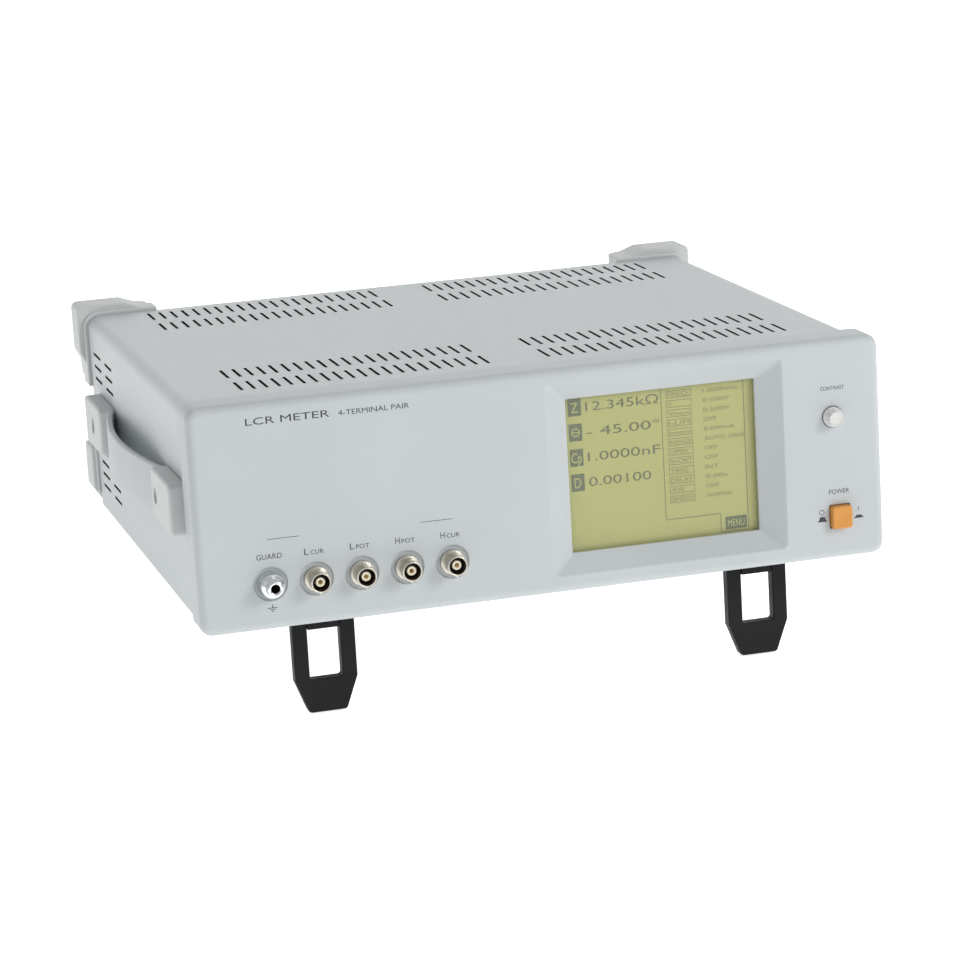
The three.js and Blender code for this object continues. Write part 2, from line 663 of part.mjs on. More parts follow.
/** Fork whose two arms turn on the pin; its square front corner stops it when it stands open. */
function leg() {
  const { half, shoulder, foot, footHalf, thick, window, z } = LEG;
  const top = z + thick / 2;
  const low = foot - 3;
  const slope = (half - footHalf) / (shoulder - foot);
  const tip = half - slope * (shoulder - low);
  const outline = polygon([
    [-half, shoulder], [-tip, low], [tip, low], [half, shoulder], [half, top], [-half, top],
  ]);
  const plate = extrude(outline, 'xz', LEG.y - thick / 2, LEG.y + thick / 2);
  const gap = box(-window.half, window.half, LEG.y - 9, LEG.y + 9, window.bottom, z + 9);
  const round = cut(
    box(-half - 1, half + 1, LEG.y, LEG.y + 5, z, z + 9),
    rod('x', [LEG.y, z], -half - 2, half + 2, thick / 2, 20),
  );
  return cut(plate, gap, round, rod('x', [LEG.y, z], -40, 40, LEG.bore, 14), belowFloor());
}

/** Plate under the cover with one lug hanging between the leg's arms. */
function legBracket() {
  const { half, y, z, lugHalf, thick } = LEG;
  const bracket = join(
    box(-half, half, 22.4, 36, 0.6, COVER.bottom - GAP),
    box(-lugHalf, lugHalf, y - thick / 2, y + thick / 2, z - 6.2, 1),
  );
  return cut(bracket, rod('x', [y, z], -40, 40, LEG.bore, 14));
}

function legPin() {
  return rod('x', [LEG.y, LEG.z], -LEG.half, LEG.half, LEG.pin, 12);
}

for (const [side, x] of [['left', LEG.left], ['right', LEG.right]]) {
  place(`leg_${side}`, leg().translate([x, 0, 0]), FINISH.black);
  place(`leg_bracket_${side}`, legBracket().translate([x, 0, 0]), FINISH.black);
  place(`leg_pin_${side}`, legPin().translate([x, 0, 0]), FINISH.zinc);
}

// ---------------------------------------------------------------- electronics

function mainBoard() {
  const plate = box(-150, 92, 45, 228, 16, 17.6);
  const parts = [
    [-20, 10, 70, 100], [20, 44, 70, 94], [-20, 20, 120, 150], [40, 70, 110, 140], [-10, 60, 170, 196],
  ].map(([x0, x1, y0, y1]) => box(x0, x1, y0, y1, 17.5, 21));
  const connector = box(30, 80, 46, 54, 17.5, 30);
  return join(plate, ...parts, connector);
}

place('main_board', mainBoard(), FINISH.board);
place(
  'measurement_shield',
  cut(box(-146, -36, 56, 156, 18, 40), box(-145, -37, 57, 155, 17, 39)),
  FINISH.zinc,
);
place(
  'power_transformer',
  join(box(104, 154, 128, 186, 10, 50), box(111, 147, 120, 194, 18, 44), box(98, 160, 128, 186, 5.2, 11)),
  FINISH.iron,
);
place(
  'power_supply_board',
  join(
    box(98, 160, 204, 258, 16, 17.6),
    box(104, 124, 210, 234, 17.5, 44),
    box(132, 150, 214, 250, 17.5, 32),
  ),
  FINISH.board,
);

// ---------------------------------------------------------------- stance

model.rotation.x = -TILT;
model.updateMatrixWorld(true);
const bounds = new THREE.Box3().setFromObject(model, true);
const object = new THREE.Group();
object.add(model);
model.position.set(
  -(bounds.min.x + bounds.max.x) / 2,
  -(bounds.min.y + bounds.max.y) / 2,
  -bounds.min.z,
);

export default object;
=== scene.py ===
"""Looks of a bench LCR meter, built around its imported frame.

Lengths inside the classes are millimetres in the case's own axes: x to the right, y from the front
panel backwards, z up from the bezel's lower edge. CaseAxes turns them into the frame's metres,
where the case leans back on its two opened front legs.
"""

import json
import logging
import math
from dataclasses import dataclass, field
from enum import Enum
from typing import Any, Callable, Iterable, Sequence

import bmesh
import bpy
import numpy as np
from mathutils import Matrix, Vector
from mathutils.geometry import delaunay_2d_cdt


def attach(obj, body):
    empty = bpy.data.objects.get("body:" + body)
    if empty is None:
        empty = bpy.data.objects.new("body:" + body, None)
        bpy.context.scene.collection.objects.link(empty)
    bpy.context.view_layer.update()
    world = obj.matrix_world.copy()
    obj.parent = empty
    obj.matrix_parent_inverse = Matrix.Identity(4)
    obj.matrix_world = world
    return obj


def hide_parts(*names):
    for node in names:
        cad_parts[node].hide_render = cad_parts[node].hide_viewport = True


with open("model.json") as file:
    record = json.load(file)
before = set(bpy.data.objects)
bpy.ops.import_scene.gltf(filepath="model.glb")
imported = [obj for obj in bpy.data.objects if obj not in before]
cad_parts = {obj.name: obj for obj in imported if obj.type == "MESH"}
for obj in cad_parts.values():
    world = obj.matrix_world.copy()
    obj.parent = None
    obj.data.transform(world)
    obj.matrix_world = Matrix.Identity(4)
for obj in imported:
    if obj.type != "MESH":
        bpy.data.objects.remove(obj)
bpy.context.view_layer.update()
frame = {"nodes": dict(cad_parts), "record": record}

log = logging.getLogger("lcr_meter")
MM = 0.001
ARC_STEPS = 6  # pieces in a quarter turn of a rounded corner
HOLD = 0.12  # width of the narrow band that keeps a flat face flat beside a rounding, mm


class Slot(Enum):
    """The record's material slots."""

    CASE = "case_plastic"
    PAINT = "painted_steel"
    GUARD = "guard_plastic"
    BLACK = "black_plastic"
    ORANGE = "orange_plastic"
    KNOB = "knob_plastic"
    NICKEL = "nickel"
    CHROME = "chrome"
    BRASS = "brass"
    CREAM = "insulator"
    WINDOW = "window"
    LCD = "lcd"
    ZINC = "zinc_steel"
    BOARD = "circuit_board"
    CORE = "core_steel"


class Facing(Enum):
    """The case axis that an outline is pushed along: its two drawing axes, then the push axis."""

    FRONT = (0, 2, 1)  # drawn in x and z, pushed along y
    SIDE = (1, 2, 0)  # drawn in y and z, pushed along x
    TOP = (0, 1, 2)  # drawn in x and y, pushed along z


# ---------------------------------------------------------------- axes and mesh tools


@dataclass(frozen=True)
class CaseAxes:
    """The leaning case in the frame: its tilt about x and where its origin lies, in metres."""

    tilt: float
    origin: tuple[float, float, float]

    @classmethod
    def from_record(cls, record: dict[str, Any], leg_pivot: tuple[float, float, float]) -> "CaseAxes":
        """Reads the tilt off the cover's top face and the origin off the two leg hinges.

        Args:
            record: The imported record.
            leg_pivot: The point midway between the two leg hinges, in case millimetres.

        Returns:
            The axes of the case.
        """
        normal = next(mount["axis"] for mount in record["mounts"] if mount["name"] == "cover_top")
        tilt = math.atan2(normal[1], normal[2])
        pivots = [j["pos_m"] for j in record["behaviour"]["joints"] if j["name"].startswith("leg_")]
        middle = np.mean(np.array(pivots, float), axis=0)
        x, y, z = (MM * v for v in leg_pivot)
        c, s = math.cos(tilt), math.sin(tilt)
        return cls(tilt, (middle[0] - x, middle[1] - (y * c + z * s), middle[2] - (z * c - y * s)))

    def to_frame(self, points: np.ndarray) -> np.ndarray:
        """Case millimetres to frame metres: turned back by the tilt about x, then moved.

        Args:
            points: Points of shape (n, 3) in case millimetres.

        Returns:
            The same points in frame metres.
        """
        p = np.asarray(points, float) * MM
        c, s = math.cos(self.tilt), math.sin(self.tilt)
        turned = np.stack([p[:, 0], p[:, 1] * c + p[:, 2] * s, p[:, 2] * c - p[:, 1] * s], axis=1)
        return turned + np.array(self.origin)


@dataclass
class Skin:
    """A mesh in the making: point blocks in case millimetres and the faces between them."""

    axes: CaseAxes
    points: list[np.ndarray] = field(default_factory=list)
    faces: list[tuple[int, ...]] = field(default_factory=list)
    count: int = 0

    def add_points(self, block: np.ndarray) -> int:
        """Adds points of shape (n, 3) and returns the number of the first."""
        first = self.count
        self.points.append(np.asarray(block, float).reshape(-1, 3))
        self.count += len(self.points[-1])
        return first

    def band(self, rings: np.ndarray, closed: bool = True) -> int:
        """Quads between neighbouring rings of a grid: point (i, j) joins (i + 1, j + 1).

        Args:
            rings: Array of shape (rings, points, 3).
            closed: Whether each ring's last point joins its first.

        Returns:
            The number of the first point.
        """
        rows, cols = rings.shape[:2]
        first = self.add_points(rings)
        i, j = np.meshgrid(np.arange(rows - 1), np.arange(cols if closed else cols - 1), indexing="ij")
        nxt = (j + 1) % cols
        quads = np.stack([i * cols + j, i * cols + nxt, (i + 1) * cols + nxt, (i + 1) * cols + j], axis=-1)
        self.faces.extend(map(tuple, (quads.reshape(-1, 4) + first).tolist()))
        return first

    def cap(self, ring: np.ndarray) -> None:
        """Closes a ring with one face that repeats its points; doubles are merged at the end."""
        first = self.add_points(ring)
        self.faces.append(tuple(range(first, first + len(ring))))

    def loft(self, rings: np.ndarray) -> None:
        """A closed body through rings: bands between them and a face over each end."""
        self.band(rings)
        self.cap(rings[0][::-1])
        self.cap(rings[-1])

    def sheet(self, loops: Sequence[np.ndarray], flat: Callable[[np.ndarray], np.ndarray]) -> None:
        """A flat sheet inside the first loop and outside the others, as Delaunay triangles.

        Args:
            loops: Closed outlines of shape (n, 2), the outer one first.
            flat: Turns drawing coordinates of shape (n, 2) into case points.
        """
        outline = np.concatenate(loops)
        starts = np.cumsum([0] + [len(loop) for loop in loops])
        edges = [
            (int(a + k), int(a + (k + 1) % (b - a)))
            for a, b in zip(starts[:-1], starts[1:]) for k in range(int(b - a))
        ]
        found = delaunay_2d_cdt([Vector(p) for p in outline.tolist()], edges, [], 0, 1e-5)
        flat_points = np.array([tuple(v) for v in found[0]], float)
        triangles = np.array([t for t in found[2] if len(t) == 3], int)
        middles = flat_points[triangles].mean(axis=1)
        keep = inside(middles, loops[0])
        for hole in loops[1:]:
            keep &= ~inside(middles, hole)
        first = self.add_points(flat(flat_points))
        self.faces.extend(map(tuple, (triangles[keep] + first).tolist()))

    def finish(self, name: str, sharp_deg: float = 32.0) -> bpy.types.Object:
        """Makes the object: doubles merged, faces turned outwards, edges over sharp_deg kept sharp.

        Args:
            name: The piece's name.
            sharp_deg: Angle between faces over which their edge is not smoothed.

        Returns:
            The new object, at the origin with its place in its mesh.
        """
        points = self.axes.to_frame(np.concatenate(self.points))
        mesh = bpy.data.meshes.new(name)
        mesh.from_pydata(points.tolist(), [], self.faces)
        work = bmesh.new()
        work.from_mesh(mesh)
        bmesh.ops.remove_doubles(work, verts=work.verts, dist=2e-6)
        bmesh.ops.dissolve_degenerate(work, edges=work.edges, dist=1e-7)
        bmesh.ops.recalc_face_normals(work, faces=work.faces)
        work.to_mesh(mesh)
        work.free()
        mesh.polygons.foreach_set("use_smooth", np.ones(len(mesh.polygons), bool))
        mesh.set_sharp_from_angle(angle=math.radians(sharp_deg))
        piece = bpy.data.objects.new(name, mesh)
        bpy.context.scene.collection.objects.link(piece)
        return piece


def inside(points: np.ndarray, loop: np.ndarray) -> np.ndarray:
    """Which points lie inside a loop: an odd number of edges crosses the ray towards +u.

    Args:
        points: Array of shape (n, 2).
        loop: Closed outline of shape (m, 2).

    Returns:
        Array of n truth values.
    """
    u, v = points[:, :1], points[:, 1:]
    a, b = loop, np.roll(loop, -1, axis=0)
    spans = (a[:, 1] > v) != (b[:, 1] > v)
    run = np.where(b[:, 1] == a[:, 1], 1.0, b[:, 1] - a[:, 1])
    crossing = a[:, 0] + (v - a[:, 1]) * (b[:, 0] - a[:, 0]) / run
    return (np.sum(spans & (u < crossing), axis=1) % 2).astype(bool)


def rounded(
    corners: Sequence[Sequence[float]], radii: float | Sequence[float], steps: int = ARC_STEPS
) -> np.ndarray:
    """Outline through corners, each replaced by an arc that touches both of its sides.

    The arc of radius r at a corner with half angle h starts r / tan(h) along each side and its
    centre lies r / sin(h) along the bisector. Every corner gets the same number of points.

    Args:
        corners: The corner points (u, v), in order.
        radii: One radius, or one for each corner.
        steps: Pieces in each arc.

    Returns:
        Array of shape (corners * (steps + 1), 2).
    """
    p = np.asarray(corners, float)
    r = np.broadcast_to(np.asarray(radii, float), len(p))[:, None]
    back = np.roll(p, 1, axis=0) - p
    ahead = np.roll(p, -1, axis=0) - p
    back /= np.linalg.norm(back, axis=1, keepdims=True)
    ahead /= np.linalg.norm(ahead, axis=1, keepdims=True)
    half = np.arccos(np.clip(np.sum(back * ahead, axis=1, keepdims=True), -1, 1)) / 2
    bisector = back + ahead
    length = np.linalg.norm(bisector, axis=1, keepdims=True)
    bisector = np.where(length > 1e-9, bisector / np.maximum(length, 1e-9), 0)
    centre = p + bisector * r / np.sin(half)
    start = p + back * r / np.tan(half)
    from_centre = start - centre
    turn = np.where(back[:, :1] * ahead[:, 1:] - back[:, 1:] * ahead[:, :1] > 0, -1.0, 1.0)
    sweep = (math.pi - 2 * half) * turn
    t = np.linspace(0, 1, steps + 1)[None, :]
    angle = sweep * t
    x = centre[:, :1] + from_centre[:, :1] * np.cos(angle) - from_centre[:, 1:] * np.sin(angle)
    y = centre[:, 1:] + from_centre[:, :1] * np.sin(angle) + from_centre[:, 1:] * np.cos(angle)
    return np.stack([x, y], axis=-1).reshape(-1, 2)


def inset(corners: Sequence[Sequence[float]], amount: float) -> np.ndarray:
    """Corners of an outline whose sides are all moved inwards by one amount (outwards if negative).

    Each new corner is the old one moved along its bisector by amount / sin(half angle); the side of
    the outline that counts as inside follows from the sign of its area.

    Args:
        corners: The corner points (u, v), in order.
        amount: How far the sides move.

    Returns:
        The moved corners, shape (n, 2).
    """
    p = np.asarray(corners, float)
    nxt = np.roll(p, -1, axis=0)
    area = np.sum(p[:, 0] * nxt[:, 1] - nxt[:, 0] * p[:, 1])
    side = nxt - p
    side /= np.linalg.norm(side, axis=1, keepdims=True)
    normal = np.stack([-side[:, 1], side[:, 0]], axis=1) * np.sign(area)
    before = np.roll(normal, 1, axis=0)
    total = normal + before
    return p + amount * 2 * total / np.sum(total * total, axis=1, keepdims=True)


def rectangle(u0: float, u1: float, v0: float, v1: float) -> list[tuple[float, float]]:
    """The four corners of a rectangle, counter-clockwise."""
    return [(u0, v0), (u1, v0), (u1, v1), (u0, v1)]


def circle(u: float, v: float, radius: float, points: int = 32) -> np.ndarray:
    """Points on a circle, counter-clockwise, as (u + r cos a, v + r sin a)."""
    a = np.arange(points) * 2 * math.pi / points
    return np.stack([u + radius * np.cos(a), v + radius * np.sin(a)], axis=1)


def lifted(loop: np.ndarray, level: float | np.ndarray, facing: Facing) -> np.ndarray:
    """Puts a drawn outline at a level of its push axis, as case points."""
    u, v, push = facing.value
    points = np.empty((len(loop), 3))
    points[:, u], points[:, v], points[:, push] = loop[:, 0], loop[:, 1], level
    return points


def round_rings(
    centre: tuple[float, float], profile: Iterable[tuple[float, float]], points: int, facing: Facing
) -> np.ndarray:
    """Circles about one axis, one for each radius and level of a profile.

    Args:
        centre: Where the axis crosses the drawing plane.
        profile: Radius and level of each circle.
        points: Points on each circle.
        facing: The plane the circles are drawn in.

    Returns:
        Array of shape (len(profile), points, 3).
    """
    return np.stack([lifted(circle(*centre, radius, points), level, facing) for radius, level in profile])


def edge_stations(
    low: float, high: float, edge_low: float, edge_high: float, steps: int = 4
) -> list[tuple[float, float]]:
    """Levels and insets of a pushed outline whose two rims are rounded by quarter circles.

    At angle a of a rim of radius r the level is r (1 - cos a) above the end and the inset is
    r (1 - sin a). A narrow band at both ends of each rounding keeps the flats flat.

    Args:
        low: First level.
        high: Last level.
        edge_low: Rim radius at the first level.
        edge_high: Rim radius at the last level.
        steps: Pieces in each rounding.

    Returns:
        (level, inset) pairs from low to high.
    """
    a = np.linspace(0, math.pi / 2, steps + 1)
    rise = [(low + edge_low * (1 - math.cos(k)), edge_low * (1 - math.sin(k))) for k in a]
    fall = [(high - edge_high * (1 - math.cos(k)), edge_high * (1 - math.sin(k))) for k in a[::-1]]
    hold = min(HOLD, (high - low) / 8)
    low_flat = [(low, edge_low + hold)]
    high_flat = [(high, edge_high + hold)]
    return low_flat + rise + [(rise[-1][0] + hold, 0), (fall[0][0] - hold, 0)] + fall + high_flat


@dataclass
class Moulding:
    """An outline pushed along one case axis, with rounded rims and holes.

    The body is a loft of the outline's insets at the levels of edge_stations; holes are lofts of
    their own outlines grown at the rims, and both end faces are flat sheets around them.
    """

    corners: Sequence[Sequence[float]]
    radii: float | Sequence[float]
    levels: tuple[float, float]
    edges: tuple[float, float] = (0.4, 0.4)
    facing: Facing = Facing.FRONT
    holes: Sequence[tuple[Sequence[Sequence[float]], float]] = ()
    hole_edge: float = 0.25
    steps: int = ARC_STEPS

    def loop(self, corners: Sequence[Sequence[float]], radii: Any, amount: float) -> np.ndarray:
        """The rounded outline of the corners inset by an amount, its radii shrinking with it."""
        r = np.maximum(np.asarray(radii, float) - amount, 0.02)
        return rounded(inset(corners, amount), r, self.steps)

    def build(self, skin: Skin) -> None:
        """Adds the moulding's faces to a skin."""
        stations = edge_stations(*self.levels, *self.edges)
        outer = [self.loop(self.corners, self.radii, d) for _, d in stations]
        skin.band(np.stack([lifted(ring, level, self.facing) for ring, (level, _) in zip(outer, stations)]))
        first, last = [outer[0]], [outer[-1]]
        walls = edge_stations(*self.levels, self.hole_edge, self.hole_edge, 2)
        for corners, radius in self.holes:
            rings = [self.loop(corners, radius, -d) for _, d in walls]
            skin.band(np.stack([lifted(ring, level, self.facing) for ring, (level, _) in zip(rings, walls)]))
            first.append(rings[0])
            last.append(rings[-1])
        skin.sheet(first, lambda uv: lifted(uv, self.levels[0], self.facing))
        skin.sheet(last, lambda uv: lifted(uv, self.levels[1], self.facing))


def turned(
    skin: Skin, centre: tuple[float, float], profile: Sequence[tuple[float, float]], points: int = 40,
    wave: Callable[[np.ndarray, float], np.ndarray] | None = None, facing: Facing = Facing.FRONT,
) -> None:
    """A turned body: each (radius, level) of the profile becomes a ring round the centre.

    Args:
        skin: The skin that takes the faces.
        centre: The axis in the drawing plane of the facing.
        profile: (radius, level) pairs; a closed profile starts and ends on radius 0.
        points: Points in each ring.
        wave: Optional factor on the radius, from the ring's angles and its radius.
        facing: The case axis that the body turns about.
    """
    a = np.arange(points) * 2 * math.pi / points
    r = np.array([max(radius, 1e-3) for radius, _ in profile])[:, None] * np.ones((1, points))
    if wave is not None:
        r = np.stack([row * wave(a, float(row[0])) for row in r])
    u = centre[0] + r * np.cos(a)
    v = centre[1] + r * np.sin(a)
    rings = np.empty((len(profile), points, 3))
    iu, iv, ip = facing.value
    rings[..., iu], rings[..., iv] = u, v
    rings[..., ip] = np.array([level for _, level in profile])[:, None]
    skin.loft(rings)


def soft_profile(corners: Sequence[tuple[float, float]], radius: float) -> list[tuple[float, float]]:
    """A turning profile with each inner corner rounded; its two ends stay where they are.

    Args:
        corners: (radius, level) pairs of the sharp profile.
        radius: Rounding radius, cut down where a side is short.

    Returns:
        The rounded profile.
    """
    p = np.asarray(corners, float)
    out = [tuple(p[0])]
    for before, here, after in zip(p[:-2], p[1:-1], p[2:]):
        reach = min(radius, 0.45 * np.linalg.norm(before - here), 0.45 * np.linalg.norm(after - here))
        a = here + (before - here) / max(np.linalg.norm(before - here), 1e-9) * reach
        b = here + (after - here) / max(np.linalg.norm(after - here), 1e-9) * reach
        t = np.linspace(0, 1, 4)[:, None]
        out.extend(map(tuple, (1 - t) ** 2 * a + 2 * t * (1 - t) * here + t ** 2 * b))
    return out + [tuple(p[-1])]


# ---------------------------------------------------------------- shader tools


class Wire:
    """A node output that takes part in Python arithmetic, each operator adding a Math node."""

    def __init__(self, desk: "Desk", socket: bpy.types.NodeSocket) -> None:
        """Wraps one output socket of a desk's material."""
        self.desk = desk
        self.socket = socket

    def _math(self, operation: str, a: Any, b: Any) -> "Wire":
        """Adds a Math node over two operands."""
        return self.desk.node("ShaderNodeMath", {"operation": operation}, {0: a, 1: b})

    def __add__(self, other: Any) -> "Wire":
        """Sum."""
        return self._math("ADD", self, other)

    __radd__ = __add__

    def __sub__(self, other: Any) -> "Wire":
        """Difference."""
        return self._math("SUBTRACT", self, other)

    def __rsub__(self, other: Any) -> "Wire":
        """Difference, reflected."""
        return self._math("SUBTRACT", other, self)

    def __mul__(self, other: Any) -> "Wire":
        """Product."""
        return self._math("MULTIPLY", self, other)

    __rmul__ = __mul__

    def __truediv__(self, other: Any) -> "Wire":
        """Quotient."""
        return self._math("DIVIDE", self, other)

    def above(self, limit: float) -> "Wire":
        """One where the value is over a limit, otherwise zero."""
        return self._math("GREATER_THAN", self, limit)

    def largest(self, other: Any) -> "Wire":
        """The larger of two values."""
        return self._math("MAXIMUM", self, other)

    def wrapped(self, period: float) -> "Wire":
        """The value folded to and fro between zero and a period."""
        return self._math("PINGPONG", self, period)


class Desk:
    """Builds one procedural material on Object coordinates."""

    def __init__(self, name: str) -> None:
        """Starts a material with a Principled shader and the surface's own coordinates."""
        self.material = bpy.data.materials.new(name)
        self.material.use_nodes = True
        self.tree = self.material.node_tree
        self.shader = next(n for n in self.tree.nodes if n.type == "BSDF_PRINCIPLED")
        self.place = self.node("ShaderNodeTexCoord", out="Object")

    def node(
        self, kind: str, settings: dict[str, Any] | None = None, sockets: dict[Any, Any] | None = None,
        out: str | int = 0,
    ) -> Wire:
        """Adds any node.

        Args:
            kind: The node's type.
            settings: Attributes set before the sockets; "stops" gives a ramp's (place, grey) pairs.
            sockets: Values or wires by socket name or number.
            out: The output wanted.

        Returns:
            That output.
        """
        made = self.tree.nodes.new(kind)
        for key, value in (settings or {}).items():
            if key == "stops":
                self._ramp(made, value)
            else:
                setattr(made, key, value)
        for key, value in (sockets or {}).items():
            self.feed(made.inputs[key], value)
        return Wire(self, made.outputs[out])

    @staticmethod
    def _ramp(made: bpy.types.Node, stops: Sequence[tuple[float, float]]) -> None:
        """Sets a colour ramp's stops to greys."""
        ramp = made.color_ramp
        while len(ramp.elements) < len(stops):
            ramp.elements.new(0.5)
        for element, (place, grey) in zip(ramp.elements, stops):
            element.position = place
            element.color = (grey, grey, grey, 1)

    def feed(self, socket: bpy.types.NodeSocket, value: Any) -> None:
        """Links a wire to a socket, or sets the socket's own value."""
        if isinstance(value, Wire):
            self.tree.links.new(value.socket, socket)
        else:
            socket.default_value = value

    def set(self, **values: Any) -> None:
        """Feeds the shader's sockets; underscores stand for the spaces in their names."""
        for key, value in values.items():
            self.feed(self.shader.inputs[key.replace("_", " ")], value)

    def noise(self, size_mm: float, detail: float = 2.0, rough: float = 0.5, at: Wire | None = None) -> Wire:
        """Noise whose largest spots are about size_mm wide."""
        sockets = {"Vector": at or self.place, "Scale": 1 / (size_mm * MM)}
        sockets |= {"Detail": detail, "Roughness": rough}
        return self.node("ShaderNodeTexNoise", sockets=sockets, out=0)

    def cells(self, size_mm: float, feature: str = "F1", at: Wire | None = None) -> Wire:
        """Distance field of random cells about size_mm wide."""
        sockets = {"Vector": at or self.place, "Scale": 1 / (size_mm * MM)}
        return self.node("ShaderNodeTexVoronoi", {"feature": feature}, sockets, out="Distance")

    def ramp(self, value: Wire, *stops: tuple[float, float]) -> Wire:
        """Grey ramp of a value through (place, grey) stops."""
        return self.node("ShaderNodeValToRGB", {"stops": stops}, {0: value})

    def mix(self, factor: Any, a: Any, b: Any) -> Wire:
        """Colour mix from a to b by a factor."""
        return self.node("ShaderNodeMix", {"data_type": "RGBA"}, {0: factor, 6: a, 7: b}, out=2)

    def axis(self, letter: str, of: Wire | None = None) -> Wire:
        """One coordinate of a place."""
        return self.node("ShaderNodeSeparateXYZ", sockets={0: of or self.place}, out=letter)

    def turned_place(self, tilt: float, origin: Sequence[float]) -> Wire:
        """The surface's place in case axes, in metres: moved to the case's origin and turned level."""
        operands = {0: self.place, 1: tuple(origin)}
        moved = self.node("ShaderNodeVectorMath", {"operation": "SUBTRACT"}, operands)
        turn = {"Vector": moved, "Rotation": (tilt, 0, 0)}
        return self.node("ShaderNodeMapping", {"vector_type": "POINT"}, turn)

    def bump(self, height: Wire, depth_mm: float, strength: float = 1.0) -> Wire:
        """Bump normal from a height of 0 to 1 that stands for depth_mm."""
        sockets = {"Strength": strength, "Distance": depth_mm * MM, "Height": height}
        return self.node("ShaderNodeBump", sockets=sockets, out=0)


def linear(hexcode: str, shade: float = 1.0) -> tuple[float, float, float, float]:
    """Linear colour of a hex code, multiplied by a shade."""
    parts = [int(hexcode[k:k + 2], 16) / 255 for k in (0, 2, 4)]
    values = [c / 12.92 if c <= 0.04045 else ((c + 0.055) / 1.055) ** 2.4 for c in parts]
    return (*(min(v * shade, 1.0) for v in values), 1.0)


# ---------------------------------------------------------------- finishes


@dataclass(frozen=True)
class MouldedPlastic:
    """Injection-moulded plastic: fine spark-eroded grain, faint flow clouds, handling marks."""

    colour: str
    roughness: float = 0.5
    grain_mm: float = 0.45
    grain_depth_mm: float = 0.012
    clouds: float = 0.03
    marks: float = 0.05
    specular: float = 0.45
    coat: float = 0.0

    def material(self, name: str) -> bpy.types.Material:
        """Makes the material: grain in the bump, clouds in the colour, marks in the roughness."""
        desk = Desk(name)
        cloud = desk.noise(60, 3)
        speck = desk.noise(self.grain_mm * 1.5, 2)
        shade = desk.ramp(cloud * 0.7 + speck * 0.3, (0.3, 0.0), (0.7, 1.0))
        dark, light = linear(self.colour, 1 - self.clouds), linear(self.colour, 1 + self.clouds)
        desk.set(Base_Color=desk.mix(shade, dark, light))
        rubbed = desk.ramp(desk.noise(14, 5, 0.65), (0.42, 0.0), (0.72, 1.0))
        grain = desk.cells(self.grain_mm) * 0.6 + speck * 0.4
        desk.set(
            Roughness=self.roughness + self.marks * (1 - rubbed) + 0.04 * grain,
            Normal=desk.bump(grain, self.grain_depth_mm, 0.6),
            Specular_IOR_Level=self.specular,
            Coat_Weight=self.coat,
            Coat_Roughness=0.25,
        )
        return desk.material


@dataclass(frozen=True)
class PowderCoat:
    """Baked paint on sheet steel: orange-peel skin with small specks and faint wipe marks."""

    colour: str
    roughness: float = 0.45
    peel_mm: float = 1.1
    peel_depth_mm: float = 0.02

    def material(self, name: str) -> bpy.types.Material:
        """Makes the material: two sizes of peel in the bump, wiped streaks in the roughness."""
        desk = Desk(name)
        peel = desk.noise(self.peel_mm, 2) * 0.65 + desk.cells(self.peel_mm * 0.5, "SMOOTH_F1") * 0.35
        broad = desk.noise(90, 3)
        speck = desk.ramp(desk.noise(0.6, 1), (0.62, 0.0), (0.75, 1.0))
        tone = desk.mix(broad, linear(self.colour, 0.975), linear(self.colour, 1.025))
        desk.set(Base_Color=desk.mix(speck * 0.25, tone, linear(self.colour, 0.9)))
        stretch = desk.node("ShaderNodeMapping", sockets={"Vector": desk.place, "Scale": (1.0, 0.12, 1.0)})
        wiped = desk.ramp(desk.noise(6, 4, 0.6, stretch), (0.4, 0.0), (0.75, 1.0))
        desk.set(
            Roughness=self.roughness - 0.05 * wiped + 0.03 * peel,
            Normal=desk.bump(peel, self.peel_depth_mm, 0.5),
            Specular_IOR_Level=0.45,
        )
        return desk.material


@dataclass(frozen=True)
class PlatedMetal:
    """Plated or bare metal: fine tool marks round the part, dulled patches, warm tarnish."""

    colour: str
    tarnish: str
    roughness: float = 0.25
    marks_mm: float = 0.25
    marks_depth_mm: float = 0.004
    patchy: float = 0.12

    def material(self, name: str) -> bpy.types.Material:
        """Makes the material: stretched noise for tool marks, clouds of tarnish and dullness."""
        desk = Desk(name)
        patch = desk.ramp(desk.noise(3.5, 5, 0.65), (0.38, 0.0), (0.7, 1.0))
        stretch = desk.node("ShaderNodeMapping", sockets={"Vector": desk.place, "Scale": (0.25, 1.0, 0.25)})
        marks = desk.noise(self.marks_mm, 3, 0.6, stretch)
        desk.set(
            Base_Color=desk.mix(patch, linear(self.colour), linear(self.tarnish)),
            Metallic=1.0 - 0.08 * patch,
            Roughness=self.roughness + self.patchy * patch + 0.05 * marks,
            Normal=desk.bump(marks, self.marks_depth_mm, 0.5),
        )
        return desk.material


@dataclass(frozen=True)
class LcdFilm:
    """Green-olive liquid crystal film with its faint dot raster and uneven back light."""

    colour: str
    tilt: float
    origin: tuple[float, float, float]
    pitch_mm: float = 0.36

    def material(self, name: str) -> bpy.types.Material:
        """Makes the material: a grid of dots 0.36 mm apart and broad clouds of brightness."""
        desk = Desk(name)
        level = desk.turned_place(self.tilt, self.origin)
        half = self.pitch_mm * MM / 2
        across = desk.axis("X", level).wrapped(half) / half
        up = desk.axis("Z", level).wrapped(half) / half
        raster = across.largest(up).above(0.82)
        glow = desk.noise(70, 2)
        tone = desk.mix(glow, linear(self.colour, 0.92), linear(self.colour, 1.06))
        desk.set(
            Base_Color=desk.mix(raster * 0.3, tone, linear(self.colour, 0.8)),
            Roughness=0.38 + 0.1 * desk.noise(8, 2),
            Emission_Color=tone,
            Emission_Strength=0.12,
        )
        return desk.material


